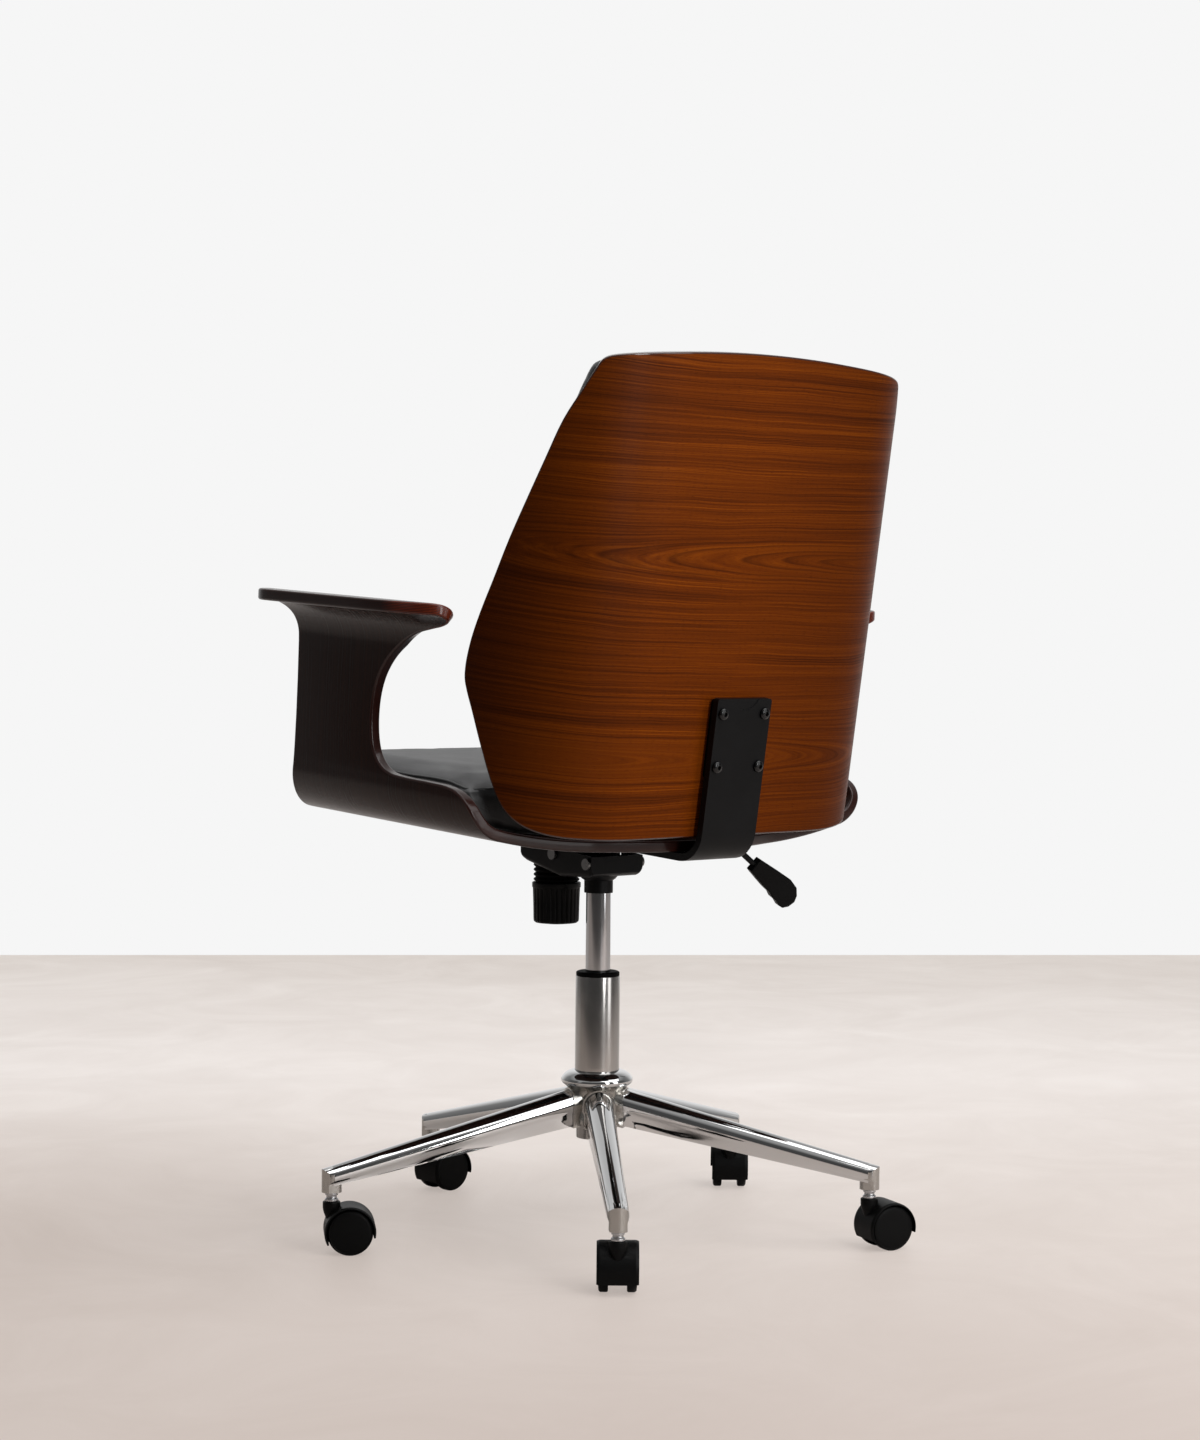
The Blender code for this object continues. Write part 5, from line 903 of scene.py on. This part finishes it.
def build_legs():
    """One leg with the round boss at its tip, bored for the caster's stem and turned to five places."""
    at_tip = Matrix.Translation((LEG_REACH, 0.0, 0.0))
    leg = scratch_object(leg_loft((LEG_START, 0.06, 0.11, 0.16, 0.21, 0.26, LEG_REACH)), "leg")
    tip = scratch_object(leg_loft((LEG_REACH - 0.02, LEG_REACH + 0.02), 0.0, 0.03), "tip")
    boolean(tip, moved(cylinder(0.0109, 0.067, 0.12, 64), at_tip), "INTERSECT")
    boolean(leg, back_to_bmesh(tip), "UNION")
    boolean(leg, moved(cylinder(0.0056, 0.06, 0.0873, 48), at_tip), "DIFFERENCE")
    soften(leg, 0.0008, 3, 35.0)

    def in_boss(face):
        away = math.hypot(face.center.x - LEG_REACH, face.center.y)
        return away < 0.0112 and face.center.z < 0.0875

    mesh = take_mesh(leg)
    two_tone(mesh, "polished_chrome", "satin_casting", in_boss)
    for number, angle in enumerate(LEG_ANGLES, 1):
        copy = mesh.copy()
        copy.transform(Matrix.Translation(COLUMN) @ turn(angle, "Z"))
        add_piece("leg_casting_%d" % number, copy, "base_leg_%d" % number)


# Casters
def caster_frame(index):
    angle = LEG_ANGLES[index]
    spot = COLUMN + Vector((LEG_REACH * math.cos(angle), LEG_REACH * math.sin(angle), 0.0))
    return Matrix.Translation(spot) @ turn(math.radians(CASTER_DIRECTIONS[index]), "Z")


def on_y(bm):
    return moved(bm, turn(-math.pi / 2, "X"))


def wheel_mesh():
    """One wheel about Y: a narrow tread round a hollow body, its outer face a shallow dome."""
    r = WHEEL_RADIUS
    face = [(r * 0.9 * math.cos(math.pi / 2 * i / 8), 0.0196 + 0.0011 * math.sin(math.pi / 2 * i / 8))
            for i in range(9)]
    profile = rounded([
        (0.0031, 0.0172), (0.0031, 0.0052), (0.0062, 0.0052), (0.0062, 0.012), (r - 0.0042, 0.012),
        (r - 0.0042, 0.0098), (r - 0.001, 0.0098), (r, 0.011), (r, 0.0178), (r - 0.001, 0.0192),
        (r * 0.925, 0.0198),
    ], 0.0008, 3) + face
    return on_y(lathe([(0.0, 0.0172)] + profile, 120))


def hood_mesh():
    """Caster body: a web between the wheels under a rounded hood, with the stem's tapered neck."""
    start, end = math.radians(-12.0), math.radians(208.0)
    inner, outer, half = 0.0261, 0.0283, 0.022
    steps = 96
    bm = bmesh.new()
    profile = rounded([
        (inner, -HALF_WEB), (inner, -half), (outer - 0.0012, -half), (outer, -half + 0.003),
        (outer, half - 0.003), (outer - 0.0012, half), (inner, half), (inner, HALF_WEB),
    ], 0.001, 4)
    profile = [(0.0, -HALF_WEB)] + profile + [(0.0, HALF_WEB)]
    rings = []
    for i in range(steps + 1):
        angle = start + (end - start) * i / steps
        rings.append([bm.verts.new((r * math.cos(angle), y, r * math.sin(angle))) for r, y in profile])
    for low, high in zip(rings, rings[1:]):
        for k in range(len(profile) - 1):
            bm.faces.new((low[k], low[k + 1], high[k + 1], high[k]))
    bm.faces.new(rings[0])
    bm.faces.new(rings[-1])
    bmesh.ops.remove_doubles(bm, verts=bm.verts, dist=1e-7)
    hood = scratch_object(moved(bm, AXLE), "hood")
    boolean(hood, moved(on_y(cylinder(0.007, -0.0044, 0.0044, 48)), AXLE), "UNION")
    neck = rounded([
        (0.0, 0.03), (0.0022, 0.03), (0.006, 0.038), (0.0088, 0.0455), (0.0097, 0.05),
        (0.0097, 0.057), (0.0, 0.057),
    ], 0.0014, 4)
    boss = scratch_object(lathe(neck, 72), "boss")
    for low, high in ((HALF_WEB, half), (-half, -HALF_WEB)):
        boolean(boss, moved(on_y(cylinder(inner, low, high, 96)), AXLE), "DIFFERENCE")
    boolean(hood, back_to_bmesh(boss), "UNION")
    boolean(hood, cylinder(0.0056, 0.0472, 0.06, 48), "DIFFERENCE")
    soften(hood, 0.0006, 3, 36.0)
    return take_mesh(hood)


def stem_mesh():
    profile = rounded([
        (0.0, 0.0475), (0.0055, 0.0475), (0.0055, 0.0574), (0.0075, 0.0574), (0.0075, 0.0596),
        (0.0058, 0.061), (0.0055, 0.0637), (0.007, 0.064), (0.007, 0.0667), (0.0055, 0.0667),
        (0.0055, 0.087), (0.0, 0.087),
    ], 0.0004, 3)
    return finish_mesh("stem", lathe(profile, 56))


def build_casters():
    hood, wheel, stem = hood_mesh(), finish_mesh("wheel", wheel_mesh(), 40.0), stem_mesh()
    for index in range(5):
        number = index + 1
        here = caster_frame(index)
        for name, mesh, node, local in (
            ("caster_body_%d", hood, "caster_hood_%d", Matrix.Identity(4)),
            ("caster_pin_%d", stem, "caster_stem_%d", Matrix.Identity(4)),
            ("caster_roller_%d_left", wheel, "caster_wheel_%d_left", AXLE),
            ("caster_roller_%d_right", wheel, "caster_wheel_%d_right", AXLE @ turn(math.pi, "Z")),
        ):
            copy = mesh.copy()
            copy.transform(here @ local)
            add_piece(name % number, copy, node % number)


# Lift and mechanism
def build_lift():
    tube = rounded([
        (0.0053, 0.1135), (0.0053, 0.1095), (0.0229, 0.1095), (0.025, 0.19), (0.025, 0.293),
        (0.0232, 0.293), (0.0232, 0.19), (0.0211, 0.1135),
    ], 0.0006, 3)
    pieces = (
        ("lift_tube", lathe(tube, 96, closed=True), "lift_outer_tube"),
        ("lift_bush", lathe(rounded([
            (0.01405, 0.225), (0.0227, 0.225), (0.0227, 0.2933), (0.0246, 0.2933),
            (0.0246, 0.2968), (0.0228, 0.298), (0.01405, 0.298)], 0.0006, 3), 96, closed=True),
         "lift_guide_bush"),
        ("lift_piston", lathe(rounded([
            (0.0, 0.324), (0.0053, 0.324), (0.0053, 0.215), (0.014, 0.215), (0.014, 0.388),
            (0.0131, 0.426), (0.0, 0.426)], 0.0008, 3), 96), "lift_cylinder"),
    )
    for name, bm, node in pieces:
        surface = MATERIALS["ground_chrome"] if node == "lift_cylinder" else None
        add_piece(name, finish_mesh(name, moved(bm, Matrix.Translation(COLUMN)), 35.0), node, surface)


def refined(name, node, width, segments=3, degrees=32.0):
    """The CAD node's own shape with its edges rounded off."""
    obj = linked(name, NODES[node].data.copy())
    modify(obj, "WELD", merge_threshold=1e-6)
    modify(obj, "DECIMATE", decimate_type="DISSOLVE", angle_limit=math.radians(0.5))
    apply_modifiers(obj)
    soften(obj, width, segments, degrees)
    return add_piece(name, take_mesh(obj), node)


def build_knob():
    """Fluted grip of the tension knob, with the bellows above it."""
    at = Matrix.Translation(COLUMN + Vector((0.0, KNOB_Y, 0.0)))
    bm = bmesh.new()
    flutes, per = 28, 8
    count = flutes * per
    stations = [(0.0, 0.3452, 0.0), (0.012, 0.3456, 0.0), (0.0238, 0.347, 0.0), (0.0258, 0.3486, 0.6),
                (0.0262, 0.351, 1.0), (0.0266, 0.37, 1.0), (0.0272, 0.3868, 1.0), (0.0276, 0.3876, 0.0),
                (0.028, 0.3882, 0.0), (0.028, 0.3928, 0.0), (0.0274, 0.3935, 0.0), (0.012, 0.3935, 0.0)]
    rings = []
    for radius, height, depth in stations:
        ring = []
        for i in range(count):
            angle = 2.0 * math.pi * i / count
            wave = max(0.0, math.cos(2.0 * math.pi * i / per)) ** 2
            size = max(1e-5, radius - 0.0011 * depth * wave)
            ring.append(bm.verts.new((size * math.cos(angle), size * math.sin(angle), height)))
        rings.append(ring)
    skin(bm, rings)
    bm.faces.new(rings[-1])
    bmesh.ops.remove_doubles(bm, verts=bm.verts, dist=2e-5)
    add_piece("tension_grip", finish_mesh("tension_grip", moved(bm, at), 40.0), "tension_knob")
    folds, low, high, inside = 4, 0.394, 0.4163, 0.0205
    profile = [(inside, low)]
    for i in range(folds * 12 + 1):
        share = i / (folds * 12)
        swell = 0.5 - 0.5 * math.cos(2.0 * math.pi * folds * share)
        profile.append((0.024 + 0.0025 * swell ** 0.7, low + (high - low) * share))
    profile.append((inside, high))
    sleeve = finish_mesh("bellows_sleeve", moved(lathe(profile, 72, closed=True), at), 50.0)
    add_piece("bellows_sleeve", sleeve, "tension_bellows")


def build_lever():
    """Bent rod with its trunnion pin, and the grip on its end."""
    flat = Vector((-0.205, 0.0, LEVER_Z))
    fall = Vector((-math.cos(LEVER_FALL), 0.0, -math.sin(LEVER_FALL)))
    points = [Vector((0.004, 0.0, LEVER_Z)), Vector((-0.1, 0.0, LEVER_Z))]
    for i in range(13):
        t = i / 12
        start, end = flat + Vector((LEVER_BEND, 0.0, 0.0)), flat + fall * LEVER_BEND
        points.append(start * (1 - t) ** 2 + flat * 2 * t * (1 - t) + end * t ** 2)
    points.append(flat + fall * 0.056)
    pin = moved(on_y(cylinder(0.0015, -0.0108, 0.0108, 24)), Matrix.Translation((-0.03, 0.0, LEVER_Z)))
    joined = scratch_object(sweep(points, 0.0035, 24), "rod")
    boolean(joined, pin, "UNION")
    soften(joined, 0.0004, 2, 50.0)
    joined.data.transform(Matrix.Translation(COLUMN))
    add_piece("lever_bar", take_mesh(joined), "lever_rod")
    refined("lever_paddle", "lever_grip", 0.0018, 3, 25.0)


def screw_mesh(radius, height, shank, sink):
    """Dome head on +Z from z = 0 with a hex socket, its shank below."""
    steps = 10
    dome = [(radius, 0.0), (radius, height * 0.22)]
    for i in range(1, steps + 1):
        angle = math.pi / 2 * i / steps
        dome.append((radius * math.cos(angle * 0.86), height * (0.22 + 0.78 * math.sin(angle))))
    profile = [(0.0, -sink), (shank, -sink), (shank, 0.0)] + dome + [(0.0, dome[-1][1])]
    screw = scratch_object(lathe(profile, 48), "screw")
    boolean(screw, cylinder(SOCKET_RADIUS, height - SOCKET_DEPTH, height + 0.01, 6), "DIFFERENCE")
    soften(screw, 0.00025, 2, 40.0)
    return take_mesh(screw)


def build_screws():
    dome = screw_mesh(0.0066, 0.0042, 0.003, 0.0247)
    out = turn(-math.pi / 2, "X")
    face = 0.0058 + BRACKET_DEPTH + 3.0 * GAP
    number = 0
    for side in (-1, 1):
        for height in (-0.043, -0.1005):
            number += 1
            copy = dome.copy()
            copy.transform(back_matrix() @ Matrix.Translation((side * 0.03, face, height)) @ out)
            add_piece("back_dome_%d" % number, copy, "back_screw_%d" % number)
    head = screw_mesh(0.006, 0.0038, 0.003, 0.014)
    under_seat = [(side * 0.05, y) for side in (-1, 1) for y in (-0.09, 0.038)]
    spots = (("seat_bolt_%d", "seat_button_%d", -0.0043, under_seat),
             ("bracket_bolt_%d", "bracket_button_%d", -0.0083, [(0.0, 0.088), (0.0, 0.136)]))
    for node, name, face, places in spots:
        for number, (x, y) in enumerate(places, 1):
            copy = head.copy()
            flip = Matrix.Translation((x, y, face - GAP)) @ turn(math.pi, "X")
            copy.transform(seat_matrix() @ flip)
            add_piece(name % number, copy, node % number)


def build_mechanism():
    build_lift()
    build_knob()
    build_lever()
    build_screws()
    refined("mechanism_body", "mech_housing", 0.0009)
    refined("bracket_bar", "back_bracket", 0.0011)
    refined("bracket_pad", "bracket_spacer", 0.0006)
    refined("seat_mount", "seat_plate", 0.0006)


# Camera, floor and light
def camera_axes():
    forward = Vector((CAMERA_HEADING[0] * math.cos(CAMERA_PITCH),
                      CAMERA_HEADING[1] * math.cos(CAMERA_PITCH), -math.sin(CAMERA_PITCH)))
    right = Vector((CAMERA_HEADING[1], -CAMERA_HEADING[0], 0.0)).normalized()
    up = right.cross(forward).normalized()
    sway = -CAMERA_ROLL
    rolled_up = up * math.cos(sway) - right * math.sin(sway)
    rolled_right = right * math.cos(sway) + up * math.sin(sway)
    return rolled_right, rolled_up, forward


def floor_point(column, row):
    """Where a pixel of the photograph meets the floor."""
    right, up, forward = camera_axes()
    focal = CAMERA_LENS / 36.0 * PIXELS[1]
    ray = forward * focal + right * (column - PIXELS[0] / 2) - up * (row - PIXELS[1] / 2)
    return CAMERA_SPOT + ray * (-CAMERA_SPOT.z / ray.z)


def build_camera():
    right, up, forward = camera_axes()
    data = bpy.data.cameras.new("view")
    data.sensor_width = 36.0
    data.lens = CAMERA_LENS
    data.clip_start, data.clip_end = 0.05, 60.0
    camera = linked("view", data)
    turned = Matrix((right, up, -forward)).transposed().to_4x4()
    camera.matrix_world = Matrix.Translation(CAMERA_SPOT) @ turned
    bpy.context.scene.camera = camera


def reading(net, place, direction):
    """How far a place lies along a level direction."""
    return net.plus(net.times(place[0], direction[0]), net.times(place[1], direction[1]))


def build_floor():
    """Pale floor out to the wall's foot, part of its colour shown to the camera as emission."""
    left, right = floor_point(-2600.0, WALL_ROW), floor_point(3800.0, WALL_ROW)
    toward = Vector((-CAMERA_HEADING[0], -CAMERA_HEADING[1], 0.0)) * 11.0
    bm = bmesh.new()
    corners = [left, right, right + toward, left + toward]
    bm.faces.new([bm.verts.new((p.x, p.y, 0.0)) for p in corners])
    mesh = mesh_from(bm, "floor")
    floor = linked("floor", mesh)
    made, net = new_material("pale_floor", srgb(226, 216, 210), 0.62)
    spot = object_space(net)
    clouds = net.noise(spot, 0.9, 5.0, 0.62, 0.6)
    wisps = net.noise(spot, 3.2, 6.0, 0.65, 1.4)
    tone = net.plus(net.times(clouds, 0.65), net.times(wisps, 0.35))
    place = net.split(spot)
    near = reading(net, place, (-CAMERA_HEADING[0], -CAMERA_HEADING[1]))
    aside = reading(net, place, (CAMERA_HEADING[1], -CAMERA_HEADING[0]))
    # Painted light: the floor is brightest across the middle and darker towards the wall and towards the
    # camera, as the light falls off.
    colour = net.ramp(net.span(near, FLOOR_FAR, FLOOR_NEAR),
                      ((0.0, srgb(229, 220, 213)), (0.45, srgb(246, 238, 233)), (0.75, srgb(230, 219, 212)),
                       (1.0, srgb(207, 193, 185))))
    # Painted shade: darker in the near left corner.
    painted_corner_shade = net.times(net.span(aside, -0.05, -0.6), net.span(near, -0.8, 0.1))
    colour = net.mix(painted_corner_shade, colour, srgb(206, 193, 185))
    colour = net.mix(net.span(tone, 0.38, 0.62, 0.0, 0.16), colour, srgb(196, 182, 172))
    path = net.node("ShaderNodeLightPath")
    beyond = net.times(net.span(near, 1.0, 1.8), path.outputs["Is Glossy Ray"])
    unseen = net.math("MAXIMUM", beyond, net.times(path.outputs["Is Diffuse Ray"], 0.8))
    seen = net.times(path.outputs["Is Camera Ray"], 0.6)
    body = net.mix(unseen, colour, srgb(70, 66, 64))
    net.surface(Base_Color=net.mix(seen, body, BLACK), Emission_Color=colour, Emission_Strength=seen,
                Roughness=net.span(wisps, 0.3, 0.7, 0.5, 0.7))
    mesh.materials.append(made)


def area_light(name, spot, target, size, power):
    data = bpy.data.lights.new(name, "AREA")
    data.shape = "RECTANGLE"
    data.size, data.size_y = size
    data.energy = power
    light = linked(name, data)
    light.location = spot
    light.rotation_euler = (Vector(target) - Vector(spot)).to_track_quat("-Z", "Y").to_euler()


def build_world():
    """A studio with one look for the camera, one for reflections and one for diffuse light."""
    world = bpy.data.worlds.new("studio")
    SCENE.world = world
    world.use_nodes = True
    net = Net(world.node_tree)
    background = world.node_tree.nodes["Background"]
    path = net.node("ShaderNodeLightPath")
    place = net.split(net.node("ShaderNodeTexCoord").outputs["Generated"])
    behind = reading(net, place, (-LAMP_TOWARD[0], -LAMP_TOWARD[1]))
    rightward = reading(net, place, LAMP_RIGHT)
    soft = net.ramp(net.span(rightward, -1.0, 1.0), ((0.0, grey(0.06)), (0.45, grey(0.16)), (1.0, grey(0.3))))
    room = net.ramp(net.span(behind, -1.0, 1.0),
                    ((0.0, grey(0.07)), (0.55, grey(0.1)), (0.8, grey(0.24)), (0.97, grey(0.88))))
    ceiling = net.ramp(net.span(place[2], 0.0, 1.0), ((0.35, BLACK), (0.75, grey(0.4))))
    studio = net.mix(1.0, room, ceiling, "LIGHTEN")
    lit = net.mix(path.outputs["Is Glossy Ray"], soft, studio)
    tip_share = net.mix(path.outputs["Is Camera Ray"], lit, srgb(246, 246, 246))
    net.feed(background.inputs[0], tip_share)
    background.inputs[1].default_value = 1.0


def build_light():
    toward, right, up = Vector((*LAMP_TOWARD, 0.0)), Vector((*LAMP_RIGHT, 0.0)), Vector((0.0, 0.0, 1.0))
    sun = bpy.data.lights.new("soft_sun", "SUN")
    sun.energy = 1.1
    sun.angle = math.radians(50.0)
    holder = linked("soft_sun", sun)
    holder.rotation_euler = (right * 0.6 + toward * 0.3 + up).to_track_quat("Z", "Y").to_euler()
    area_light("key", toward * 2.2 + right * 1.55 + up * 1.2, (0, 0, 0.6), (0.45, 1.6), 25.0)
    area_light("side", toward * 1.1 + right * 2.2 + up * 0.9, (0, 0, 0.6), (0.7, 1.6), 8.0)
    area_light("fill", toward * 1.6 - right * 2.6 + up * 1.5, (0, 0, 0.5), (0.8, 1.8), 0.8)
    area_light("top", up * 3.0, (0, 0, 0), (2.2, 2.2), 26.0)


bpy.context.scene.view_settings.view_transform = "Standard"
build_camera()
build_floor()
build_world()
build_light()
build_shells()
build_upholstery()
build_hub()
build_legs()
build_casters()
build_mechanism()
